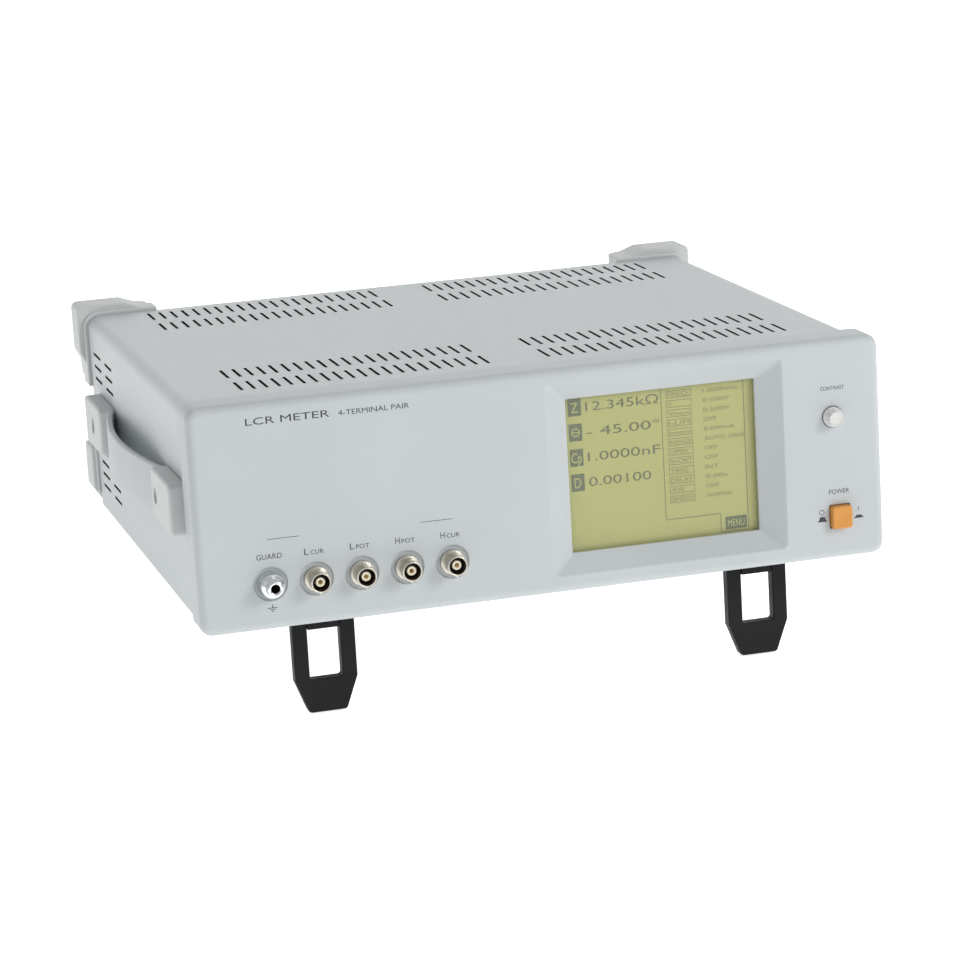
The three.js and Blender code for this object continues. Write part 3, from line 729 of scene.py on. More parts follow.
@dataclass(frozen=True)
class Ink:
    """Screen-printed ink or a darkened display segment, a little uneven in its cover."""

    colour: str
    roughness: float = 0.55
    worn: float = 0.25

    def material(self, name: str) -> bpy.types.Material:
        """Makes the material: tiny pinholes and thin patches lighten the ink."""
        desk = Desk(name)
        thin = desk.ramp(desk.noise(0.35, 4, 0.6), (0.45, 0.0), (0.8, 1.0)) * self.worn
        grain = desk.noise(0.2, 2)
        desk.set(
            Base_Color=desk.mix(thin, linear(self.colour), linear(self.colour, 2.2)),
            Roughness=self.roughness + 0.1 * grain,
            Normal=desk.bump(grain, 0.004, 0.4),
        )
        return desk.material


@dataclass(frozen=True)
class ClearWindow:
    """Clear acrylic window over the display: nearly see-through, with fine dust and a faint tint."""

    colour: str = "dfe3c8"

    def material(self, name: str) -> bpy.types.Material:
        """Makes the material: low alpha, higher where dust lies."""
        desk = Desk(name)
        dust = desk.ramp(desk.noise(1.2, 5, 0.7), (0.6, 0.0), (0.8, 1.0))
        desk.set(
            Base_Color=linear(self.colour),
            Roughness=0.06 + 0.2 * dust,
            Alpha=0.07 + 0.03 * dust,
            Specular_IOR_Level=0.5,
        )
        return desk.material


@dataclass(frozen=True)
class CircuitBoard:
    """Green solder mask over copper runs on a square grid, with tinned pads."""

    colour: str = "1f4a33"
    pitch_mm: float = 2.54

    def material(self, name: str) -> bpy.types.Material:
        """Makes the material: copper runs under the mask and round pads on the grid."""
        desk = Desk(name)
        half = self.pitch_mm * MM / 2
        along = desk.axis("X").wrapped(half) / half
        across = desk.axis("Y").wrapped(half) / half
        run = along.above(0.72) * desk.noise(9, 2).above(0.5)
        pads = (1 - (along * along + across * across)).above(0.82)
        mask = desk.mix(run, linear(self.colour), linear("2f6b49"))
        desk.set(
            Base_Color=desk.mix(pads, mask, linear("b9b7a8")),
            Metallic=pads * 0.9,
            Roughness=0.4 - 0.1 * pads + 0.1 * desk.noise(3, 2),
            Normal=desk.bump(run + pads, 0.04, 0.5),
        )
        return desk.material


@dataclass(frozen=True)
class CoreSteel:
    """Varnished transformer laminations with rust-brown clouds."""

    colour: str = "4c4238"
    sheet_mm: float = 0.5

    def material(self, name: str) -> bpy.types.Material:
        """Makes the material: thin stripes between sheets, varnish clouds over them."""
        desk = Desk(name)
        half = self.sheet_mm * MM / 2
        stripe = desk.axis("Z").wrapped(half) / half
        varnish = desk.noise(5, 4, 0.6)
        desk.set(
            Base_Color=desk.mix(varnish, linear(self.colour), linear("7a5b3c")),
            Metallic=0.5 * stripe,
            Roughness=0.35 + 0.25 * varnish,
            Normal=desk.bump(stripe, 0.05, 0.6),
        )
        return desk.material


@dataclass(frozen=True)
class StudioFloor:
    """Pale seamless paper, faintly fibrous."""

    colour: str = "f6f6f6"

    def material(self, name: str) -> bpy.types.Material:
        """Makes the material: fibre-sized noise in colour and bump."""
        desk = Desk(name)
        fibre = desk.noise(1.5, 3)
        desk.set(
            Base_Color=desk.mix(fibre, linear(self.colour, 0.99), linear(self.colour, 1.0)),
            Roughness=0.85 + 0.1 * fibre,
            Specular_IOR_Level=0.1,
            Emission_Color=linear(self.colour),
            Emission_Strength=0.8,
            Normal=desk.bump(fibre, 0.02, 0.3),
        )
        return desk.material


class Wardrobe:
    """All finishes of the meter by material slot, and those that no slot names."""

    def __init__(self, axes: CaseAxes) -> None:
        """Makes one material for each slot and for the printing and the display's segments, and the painted
        shade for the bores and the cover's inside.
        """
        grain = {"grain_mm": 0.5, "grain_depth_mm": 0.014}
        finishes: dict[Slot, Any] = {
            Slot.CASE: MouldedPlastic("b5babc", 0.5, **grain),
            Slot.PAINT: PowderCoat("b3b9ba"),
            Slot.GUARD: MouldedPlastic("c0c3c3", 0.5, **grain),
            Slot.BLACK: MouldedPlastic("0b0c0e", 0.45, 0.6, 0.02, clouds=0.15, marks=0.12, specular=0.25),
            Slot.ORANGE: MouldedPlastic("c98a3e", 0.34, 0.35, 0.006, clouds=0.05),
            Slot.KNOB: MouldedPlastic("cbccca", 0.42, 0.35, 0.008),
            Slot.NICKEL: PlatedMetal("cfccc2", "b5b0a0", 0.26),
            Slot.CHROME: PlatedMetal("e6e8ea", "cfd2d6", 0.07, patchy=0.04, marks_depth_mm=0.001),
            Slot.BRASS: PlatedMetal("caa863", "8f6b33", 0.3),
            Slot.CREAM: MouldedPlastic("e2dac2", 0.42, 0.3, 0.006),
            Slot.WINDOW: ClearWindow(),
            Slot.LCD: LcdFilm("9c9c5a", axes.tilt, axes.origin),
            Slot.ZINC: PlatedMetal("c2c6c9", "a3a7a6", 0.34, patchy=0.16),
            Slot.BOARD: CircuitBoard(),
            Slot.CORE: CoreSteel(),
        }
        self.by_slot = {slot: finish.material(slot.value) for slot, finish in finishes.items()}
        self.print_ink = Ink("30373b").material("print_ink")
        self.segment = Ink("4a4f35", worn=0.15).material("display_segment")
        self.faint_segment = Ink("5c5f37", worn=0.3).material("display_faint_segment")
        self.label_block = Ink("4a543f", worn=0.15).material("display_label_block")
        # Painted shade: a dark brown for the unlit insides of the socket bores and of the guard post's hole.
        self.bore_shade = MouldedPlastic("3a2e28", 0.4, 0.3, 0.004, clouds=0.1).material("bore_shade")
        # Painted shade: a near-black for the cover's inside and cut edges, slot walls too, standing for the
        # dark inside seen through the slots.
        inside_shade = MouldedPlastic("1c1e20", 0.6, 0.8, 0.01, clouds=0.1, specular=0.2)
        self.inside_shade = inside_shade.material("cover_inside_shade")
        self.floor = StudioFloor().material("studio_floor")

    def dress(self, piece: bpy.types.Object, slot: Slot, *extra: bpy.types.Material) -> None:
        """Gives a new piece its slot's finish, and further finishes for other faces."""
        piece.data.materials.clear()
        for material in (self.by_slot[slot], *extra):
            piece.data.materials.append(material)


# ---------------------------------------------------------------- sub-assemblies


@dataclass
class Assembly:
    """What every sub-assembly shares: the case axes, the finishes, and the way a piece is added."""

    axes: CaseAxes
    wardrobe: Wardrobe

    def add(
        self, skin: Skin, name: str, slot: Slot, body: str = "case", replaces: Iterable[str] = (),
        sharp_deg: float = 32.0,
    ) -> bpy.types.Object:
        """Finishes a skin as a piece that rides on a body.

        Args:
            skin: The filled skin.
            name: The piece's name.
            slot: The material slot it takes its finish from.
            body: The frame body it moves with.
            replaces: The frame nodes it stands for.
            sharp_deg: Angle over which edges stay sharp.

        Returns:
            The piece.
        """
        piece = skin.finish(name, sharp_deg)
        self.wardrobe.dress(piece, slot)
        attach(piece, body)
        nodes = list(replaces)
        if nodes:
            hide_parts(*nodes)
        log.info("%s: %d faces on %s", name, len(piece.data.polygons), body)
        return piece

    def skin(self) -> Skin:
        """A new empty skin in the case's axes."""
        return Skin(self.axes)


@dataclass
class FrontBezel(Assembly):
    """The moulded front: rounded face, display recess, connector wells and the rim behind."""

    half: float = 170.5
    height: float = 109.0
    depth: float = 21.0
    wall: float = 3.2
    corner: float = 6.0
    edge: float = 4.0
    recess: tuple[float, float, float, float] = (1.7, 119.9, 8.7, 102.0)
    screen: tuple[float, float, float, float] = (13.5, 108.6, 17.2, 92.5)
    screen_depth: float = 7.4
    well_depth: float = 1.2
    terminals: tuple[float, ...] = (-136.0, -114.0, -92.0, -70.0, -48.0)
    terminal_z: float = 22.2
    well: float = 8.1
    terminal_hole: float = 5.0
    knob: tuple[float, float, float, float] = (145.4, 70.9, 5.3, 3.4)
    button: tuple[float, float, float, float] = (142.3, 152.9, 15.4, 27.0)

    def outer(self, amount: float, radius: float, steps: int = ARC_STEPS) -> np.ndarray:
        """The bezel's outline inset by an amount, with corners of the given radius."""
        corners = rectangle(-self.half + amount, self.half - amount, amount, self.height - amount)
        return rounded(corners, max(radius, 0.05), steps)

    def well_loops(
        self, skin: Skin, centre: tuple[float, float], wide: float, narrow: float
    ) -> tuple[np.ndarray, np.ndarray]:
        """A round well with a soft rim and floor and a through hole.

        Args:
            skin: The skin that takes the faces.
            centre: Middle of the well in x and z.
            wide: Radius of the well.
            narrow: Radius of the hole in its floor.

        Returns:
            The loops in the front face and in the inner face.
        """
        rim, depth = 0.35, self.well_depth
        profile = [
            (wide + rim + HOLD, 0), (wide + rim, 0), (wide + 0.3 * rim, 0.3 * rim), (wide, rim),
            (wide - 0.05, depth - 0.1), (wide - 0.15, depth), (narrow + 0.1, depth),
            (narrow, depth + 0.1), (narrow, self.wall),
        ]
        skin.band(round_rings(centre, profile, 48, Facing.FRONT))
        return circle(*centre, profile[0][0], 48), circle(*centre, narrow, 48)

    def recess_walls(self, skin: Skin) -> tuple[np.ndarray, np.ndarray]:
        """The sloping walls of the display recess and the frame behind them.

        Returns:
            The loops in the front face and in the inner face.
        """
        front, back, depth = rectangle(*self.recess), rectangle(*self.screen), self.screen_depth
        rings = [
            (inset(front, -0.9), 3.4, 0.0), (inset(front, -0.75), 3.3, 0.0), (inset(front, -0.35), 3.0, 0.12),
            (front, 2.7, 0.45), (inset(back, -0.8), 0.9, depth - 0.55),
            (inset(back, -0.3), 0.6, depth - 0.15), (inset(back, -0.05), 0.4, depth + 0.05),
            (back, 0.35, depth + 0.3), (back, 0.35, depth + 1.2),
            (inset(front, -1.4), 0.35, depth + 1.2), (inset(front, -1.4), 0.35, self.wall),
        ]
        loops = [rounded(corners, radius, 4) for corners, radius, _ in rings]
        skin.band(np.stack([lifted(loop, y, Facing.FRONT) for loop, (_, _, y) in zip(loops, rings)]))
        return loops[0], loops[-1]

    def button_mouth(self, skin: Skin) -> tuple[np.ndarray, np.ndarray]:
        """The hole with a soft rim that the power button sits in.

        Returns:
            The loops in the front face and in the inner face.
        """
        opening = rectangle(*self.button)
        mouth = [(0.5 + HOLD, 0), (0.5, 0), (0.15, 0.15), (0, 0.5), (0, self.wall)]
        loops = [rounded(inset(opening, -d), 0.6 + d, 4) for d, _ in mouth]
        skin.band(np.stack([lifted(loop, y, Facing.FRONT) for loop, (_, y) in zip(loops, mouth)]))
        return loops[0], loops[-1]

    def build(self) -> None:
        """Front face around its wells, outer skin swept back, rim, inner skin and inner face."""
        skin = self.skin()
        wells = [(x, self.terminal_z, self.well, self.terminal_hole) for x in self.terminals] + [self.knob]
        openings = [self.well_loops(skin, (x, z), wide, narrow) for x, z, wide, narrow in wells]
        openings += [self.button_mouth(skin), self.recess_walls(skin)]
        fronts, backs = zip(*openings)
        rings = [(0.0, self.edge + HOLD, self.corner - self.edge)]
        for a in np.linspace(0, math.pi / 2, 9):
            amount = self.edge * (1 - math.sin(a))
            rings.append((self.edge * (1 - math.cos(a)), amount, self.corner - amount))
        rings += [(self.edge + 0.3, 0.0, self.corner), (self.depth - 0.7, 0.0, self.corner)]
        rings += [(self.depth - 0.2, 0.15, self.corner - 0.15), (self.depth, 0.5, self.corner - 0.4)]
        rings += [(self.depth, 2.05, 4.0), (self.wall + 3, 2.05, 4.0), (self.wall, self.wall, 2.0)]
        outline = [self.outer(amount, radius) for _, amount, radius in rings]
        skin.band(np.stack([lifted(loop, y, Facing.FRONT) for loop, (y, _, _) in zip(outline, rings)]))
        skin.sheet([outline[0], *fronts], lambda uv: lifted(uv, 0.0, Facing.FRONT))
        skin.sheet([outline[-1], *backs], lambda uv: lifted(uv, self.wall, Facing.FRONT))
        self.add(skin, "bezel_moulding", Slot.CASE, replaces=["front_bezel"])


@dataclass
class FoldedCover(Assembly):
    """The painted top cover, folded round the case, with its rows of slots."""

    half: float = 168.0
    bottom: float = 3.5
    top: float = 106.3
    front: float = 17.8
    rear: float = 287.0
    sheet_mm: float = 1.2
    bend: float = 6.0
    slot: tuple[float, float] = (1.6, 20.5)
    first: float = 15.2
    pitch: float = 6.08
    count: int = 21
    rows: tuple[tuple[float, float], ...] = ((56.0, 3.0), (89.0, 3.0), (235.0, 0.0), (268.0, 0.0))
    side_first: float = 17.0
    side_pitch: float = 6.5
    side_count: int = 12
    side_columns: tuple[float, ...] = (231.0, 264.5)
    handle_z: float = 56.0

    def place(self, s: np.ndarray) -> tuple[np.ndarray, np.ndarray]:
        """x and z along the cover's cross-section: straight side, quarter bend, straight top.

        Args:
            s: Distance along the outside from the middle of the top, negative to the left.

        Returns:
            The coordinates x and z.
        """
        flat = self.half - self.bend
        arc = self.bend * math.pi / 2
        t = np.abs(s)
        angle = np.clip((t - flat) / self.bend, 0, math.pi / 2)
        x = np.minimum(t, flat) + self.bend * np.sin(angle)
        z = self.top - self.bend * (1 - np.cos(angle)) - np.maximum(t - flat - arc, 0)
        return np.sign(s) * x, z

    def side_distance(self, z: float) -> float:
        """Distance along the cross-section of a height on the side."""
        return self.half - self.bend + self.bend * math.pi / 2 + (self.top - self.bend - z)

    def slots(self) -> list[tuple[float, float, float, float]]:
        """Every slot as (s from, s to, y from, y to)."""
        half_w, half_l = self.slot[0] / 2, self.slot[1] / 2
        found = []
        for sign in (-1, 1):
            for k in range(self.count):
                x = sign * (self.first + self.pitch * k)
                for y, shift in self.rows:
                    found.append((x + shift - half_w, x + shift + half_w, y - half_l, y + half_l))
            for k in range(self.side_count):
                z = self.side_first + self.side_pitch * k
                if sign < 0 and abs(z - self.handle_z) < 15:
                    continue
                s = sign * self.side_distance(z)
                found += [(s - half_w, s + half_w, y - half_l, y + half_l) for y in self.side_columns]
        return found

    def build(self) -> None:
        """The unfolded sheet as a grid whose lines run along the slots, cells left out, thickened, with
        painted shade on its inside and cut edges.
        """
        slots = np.array(self.slots())
        flat, arc = self.half - self.bend, self.bend * math.pi / 2
        end = self.side_distance(self.bottom)
        bends = flat + np.linspace(0, arc, 9)
        hold = np.array([flat - 0.4, flat + arc + 0.4, end - 0.3, end])
        s = np.concatenate([slots[:, 0], slots[:, 1], bends, -bends, hold, -hold, [0.0]])
        across = [self.front, self.rear - 0.3, self.rear, 110, 160, 210]
        y = np.concatenate([slots[:, 2], slots[:, 3], across])
        s, y = np.unique(np.round(s, 4)), np.unique(np.round(y, 4))
        x, z = self.place(s)
        grid = np.stack(np.broadcast_arrays(x[:, None], y[None, :], z[:, None]), axis=-1)
        middle_s, middle_y = (s[1:] + s[:-1]) / 2, (y[1:] + y[:-1]) / 2
        opened = np.zeros((len(middle_s), len(middle_y)), bool)
        for s0, s1, y0, y1 in slots:
            in_s, in_y = (middle_s > s0) & (middle_s < s1), (middle_y > y0) & (middle_y < y1)
            opened |= in_s[:, None] & in_y[None, :]
        skin = self.skin()
        first = skin.add_points(grid)
        i, j = np.nonzero(~opened)
        n = len(y)
        quads = np.stack([i * n + j, i * n + j + 1, (i + 1) * n + j + 1, (i + 1) * n + j], axis=1) + first
        skin.faces.extend(map(tuple, quads.tolist()))
        piece = self.add(skin, "cover_sheet", Slot.PAINT, replaces=["top_cover"])
        work = bmesh.new()
        work.from_mesh(piece.data)
        up = max(work.faces, key=lambda face: face.calc_center_median().z)
        if up.normal.z < 0:
            bmesh.ops.reverse_faces(work, faces=work.faces)
        loose = [v for v in work.verts if not v.link_faces]
        bmesh.ops.delete(work, geom=loose, context="VERTS")
        work.to_mesh(piece.data)
        work.free()
        solid = piece.modifiers.new("sheet_thickness", "SOLIDIFY")
        solid.thickness = self.sheet_mm * MM
        solid.offset = -1
        solid.use_even_offset = True
        # Painted shade: the sheet's inside and its cut edges, slot walls too, take a near-black material for
        # the dark inside seen through the slots.
        piece.data.materials.append(self.wardrobe.inside_shade)
        solid.material_offset = 1
        solid.material_offset_rim = 1
        finished = piece.evaluated_get(bpy.context.evaluated_depsgraph_get())
        thick = bpy.data.meshes.new_from_object(finished)
        piece.modifiers.clear()
        piece.data = thick
        thick.set_sharp_from_angle(angle=math.radians(30))


@dataclass
class CornerGuard(Assembly):
    """A rear corner guard: a thin angled lip against the cover's edge and a thick block behind it."""

    level: str = "upper"
    side: int = -1
    half: float = 168.0
    bottom: float = 3.5
    top: float = 106.3
    start: float = 287.8
    rear: float = 312.0
    arm_rear: float = 302.0
    screw_inset: float = 8.0
    screw_rise: float = 15.0
    well: float = 4.2

    def upper_outlines(self) -> tuple[list[tuple[float, float]], list[tuple[float, float]]]:
        """Lip and block of the upper left guard as corners in x and z."""
        x, z = -self.half, self.top
        lip = [
            (x - 2.0, z - 38), (x + 8, z - 38), (x + 13, z - 20), (x + 20, z - 13), (x + 38, z - 8),
            (x + 38, z + 2.0), (x - 2.0, z + 2.0),
        ]
        block = [
            (x - 5, z - 20), (x - 2.2, z - 26), (x - 1.4, z - 35), (x + 8, z - 35), (x + 13, z - 20),
            (x + 20, z - 13), (x + 36, z - 8), (x + 36, z + 1.4), (x + 29, z + 2.4), (x + 21, z + 5.2),
            (x - 5, z + 5.2),
        ]
        return lip, block

    def lower_outlines(self) -> tuple[list[tuple[float, float]], list[tuple[float, float]]]:
        """Lip and block of the lower left guard as corners in x and z."""
        x, z = -self.half, self.bottom
        lip = [
            (x - 1.5, z + 33), (x - 1.5, z + 7), (x + 6, z - 4), (x + 38, z - 4), (x + 38, z + 8),
            (x + 20, z + 13), (x + 13, z + 20), (x + 8, z + 33),
        ]
        block = [
            (x - 3.3, z + 31), (x - 3.3, z + 8), (x + 7, z - 7.5), (x + 14, z - 10.4), (x + 32, z - 10.4),
            (x + 35, z - 4), (x + 35, z + 8), (x + 20, z + 13), (x + 13, z + 20), (x + 8, z + 31),
        ]
        return lip, block

    def build(self) -> None:
        """Both outlines pushed backwards with rounded rims, drilled for the screw."""
        if self.level == "upper":
            lip, block = self.upper_outlines()
            lip_radii: Sequence[float] = (1, 1, 4, 4, 1, 1, 7.5)
            block_radii: Sequence[float] = (3, 3, 1, 1, 4, 4, 1, 1, 3, 4, 3.2)
            screw_z = self.top + self.bottom - self.screw_rise
        else:
            lip, block = self.lower_outlines()
            lip_radii, block_radii = (1, 3, 3, 1, 1, 4, 4, 1), (1.5, 4, 3, 3, 3, 1.5, 1, 4, 4, 1)
            screw_z = self.screw_rise
        well_x, reach = -self.half + self.screw_inset, self.well
        well = rectangle(well_x - reach, well_x + reach, screw_z - reach, screw_z + reach)
        mirrored = self.side > 0
        skin = self.skin()
        for corners, radii, levels, edges in (
            (lip, lip_radii, (self.start, self.arm_rear), (0.7, 0.7)),
            (block, block_radii, (self.start + 2.6, self.rear), (1.0, 2.0)),
        ):
            shape = [(-x, z) for x, z in corners] if mirrored else corners
            hole = [(-x, z) for x, z in well] if mirrored else well
            Moulding(shape, radii, levels, edges, holes=[(hole, 4.1)], hole_edge=0.4).build(skin)
        side = "right" if mirrored else "left"
        name = f"guard_{self.level}_{side}"
        self.add(skin, name, Slot.GUARD, replaces=[f"rear_guard_{self.level}_{side}"], sharp_deg=40)


@dataclass
class StrapHandle(Assembly):
    """The carrying strap on the left side with its two end caps and recessed screws."""

    wall_x: float = -168.3
    z: float = 56.0
    height: float = 25.0
    cap: float = 8.2
    strap: float = 3.2
    front: tuple[float, float] = (27.0, 73.0)
    rear: tuple[float, float] = (220.0, 266.0)
    screws: tuple[float, float] = (64.0, 243.0)
    bulge: float = 8.3
    curve: tuple[float, float] = (75.0, 217.0)

    def strap_band(self) -> None:
        """A rounded strip lofted along the line that bows outwards between the caps."""
        start, end = self.curve
        straights = np.linspace(44, start, 5), np.linspace(end, 249, 5)
        y = np.concatenate([straights[0], np.linspace(start, end, 61)[1:-1], straights[1]])
        u = np.clip((y - start) / (end - start), 0, 1)
        bow = 0.6 + self.bulge * np.sin(math.pi * u) ** 0.8
        middle = self.wall_x - bow - self.strap / 2
        slope = np.gradient(middle, y)
        length = np.sqrt(1 + slope ** 2)
        normal_x, normal_y = 1 / length, -slope / length
        half_t, half_h, r = self.strap / 2, self.height / 2 - 0.8, 1.1
        section = rounded(rectangle(-half_t, half_t, -half_h, half_h), r, 5)
        rings = np.stack([
            middle[:, None] + normal_x[:, None] * section[:, 0],
            y[:, None] + normal_y[:, None] * section[:, 0],
            np.broadcast_to(self.z + section[:, 1], (len(y), len(section))),
        ], axis=-1)
        skin = self.skin()
        skin.loft(rings)
        self.add(skin, "strap_band", Slot.CASE, replaces=["handle_strap"], sharp_deg=40)

    def end_cap(self, name: str, node: str, span: tuple[float, float], screw_y: float) -> None:
        """One cap: a block with a screw well, its rim rounded by a quarter circle of radius 1.5."""
        y0, y1 = span
        half = self.height / 2
        outer_x = self.wall_x - self.cap
        skin = self.skin()
        base = rectangle(y0, y1, self.z - half, self.z + half)
        stations = edge_stations(outer_x, self.wall_x, 1.5, 0.05, 6)
        rings = [rounded(inset(base, d), max(2.6 - d, 0.5), 6) for _, d in stations]
        skin.band(np.stack([lifted(ring, x, Facing.SIDE) for ring, (x, _) in zip(rings, stations)]))
        wall = [(4.2 + 0.3 + HOLD, 0), (4.5, 0), (4.28, 0.1), (4.2, 0.3), (4.2, 2.6), (0.01, 2.6)]
        centre = (screw_y, self.z)
        skin.band(round_rings(centre, [(r, outer_x + d) for r, d in wall], 40, Facing.SIDE))
        rim = circle(*centre, wall[0][0], 40)
        skin.sheet([rings[0], rim], lambda uv: lifted(uv, outer_x, Facing.SIDE))
        skin.cap(lifted(rings[-1], self.wall_x, Facing.SIDE))
        self.add(skin, name, Slot.GUARD, replaces=[node], sharp_deg=40)

    def build(self) -> None:
        """Strap, both caps and both screws."""
        self.strap_band()
        self.end_cap("cap_front", "handle_cap_front", self.front, self.screws[0])
        self.end_cap("cap_rear", "handle_cap_rear", self.rear, self.screws[1])
        for name, y in zip(("front", "rear"), self.screws):
            face = self.wall_x - self.cap + 2.3
            CrossScrew(
                self.axes, self.wardrobe, f"strap_screw_{name}", [f"handle_screw_{name}"], (y, self.z), face,
            ).build()


@dataclass
class CrossScrew(Assembly):
    """A pan-head screw with a cross recess: a crowned disc whose middle drops inside a cross."""

    name: str = ""
    nodes: Sequence[str] = ()
    centre: tuple[float, float] = (0.0, 0.0)
    face: float = 0.0
    inwards: int = 1
    facing: Facing = Facing.SIDE
    radius: float = 3.6
    height: float = 1.9
    arm: float = 0.55
    reach: float = 1.9

    def build(self) -> None:
        """Head sheet around a cross-shaped loop, the loop's walls and floor, and the crowned rim."""
        skin = self.skin()
        a, b = self.arm, self.reach
        cross = [
            (-b, -a), (-a, -a), (-a, -b), (a, -b), (a, -a), (b, -a),
            (b, a), (a, a), (a, b), (-a, b), (-a, a), (-b, a),
        ]
        loop = rounded(np.asarray(cross) + self.centre, 0.12, 2)
        floor = rounded(np.asarray(cross) * 0.75 + self.centre, 0.1, 2)
        way, radius = self.inwards, self.radius
        bottom = lifted(floor, self.face + way * 1.1, self.facing)
        skin.band(np.stack([lifted(loop, self.face, self.facing), bottom]))
        skin.cap(bottom)
        rim = [
            (radius - 0.9, 0.0), (radius - 0.4, 0.1), (radius - 0.1, 0.4), (radius, 0.8),
            (radius, self.height), (0.01, self.height),
        ]
        profile = [(r, self.face + way * d) for r, d in rim]
        skin.band(round_rings(self.centre, profile, 32, self.facing))
        skin.sheet([circle(*self.centre, rim[0][0], 32), loop], lambda uv: lifted(uv, self.face, self.facing))
        self.add(skin, self.name, Slot.ZINC, replaces=list(self.nodes))


@dataclass
class FoldingLeg(Assembly):
    """A fold-out leg: a fork with chamfered rims whose plate narrows to the foot."""

    side: str = "left"
    x: float = -107.0
    y: float = 29.0
    z: float = -3.0
    half: float = 15.4
    thick: float = 6.5
    shoulder: float = -34.4
    foot: float = -51.0
    foot_half: float = 9.3
    gap: tuple[float, float] = (8.0, -34.0)
    chamfer: float = 0.8

    def build(self) -> None:
        """The fork as one moulding whose lower end follows the floor."""
        top = self.z + self.thick / 2
        rise = self.thick / 2 * math.tan(self.axes.tilt)
        arm, low = self.gap
        corners = [
            (self.x - self.half, self.shoulder), (self.x - self.foot_half, self.foot + rise),
            (self.x + self.foot_half, self.foot + rise), (self.x + self.half, self.shoulder),
            (self.x + self.half, top), (self.x + arm, top), (self.x + arm, low), (self.x - arm, low),
            (self.x - arm, top), (self.x - self.half, top),
        ]
        skin = self.skin()
        levels = (self.y - self.thick / 2, self.y + self.thick / 2)
        radii = (1.2, 2.0, 2.0, 1.2, 0.7, 0.7, 1.6, 1.6, 0.7, 0.7)
        Moulding(corners, radii, levels, (self.chamfer, 0.6)).build(skin)
        body = f"leg_{self.side}"
        self.add(skin, f"leg_frame_{self.side}", Slot.BLACK, body, [body], sharp_deg=35)


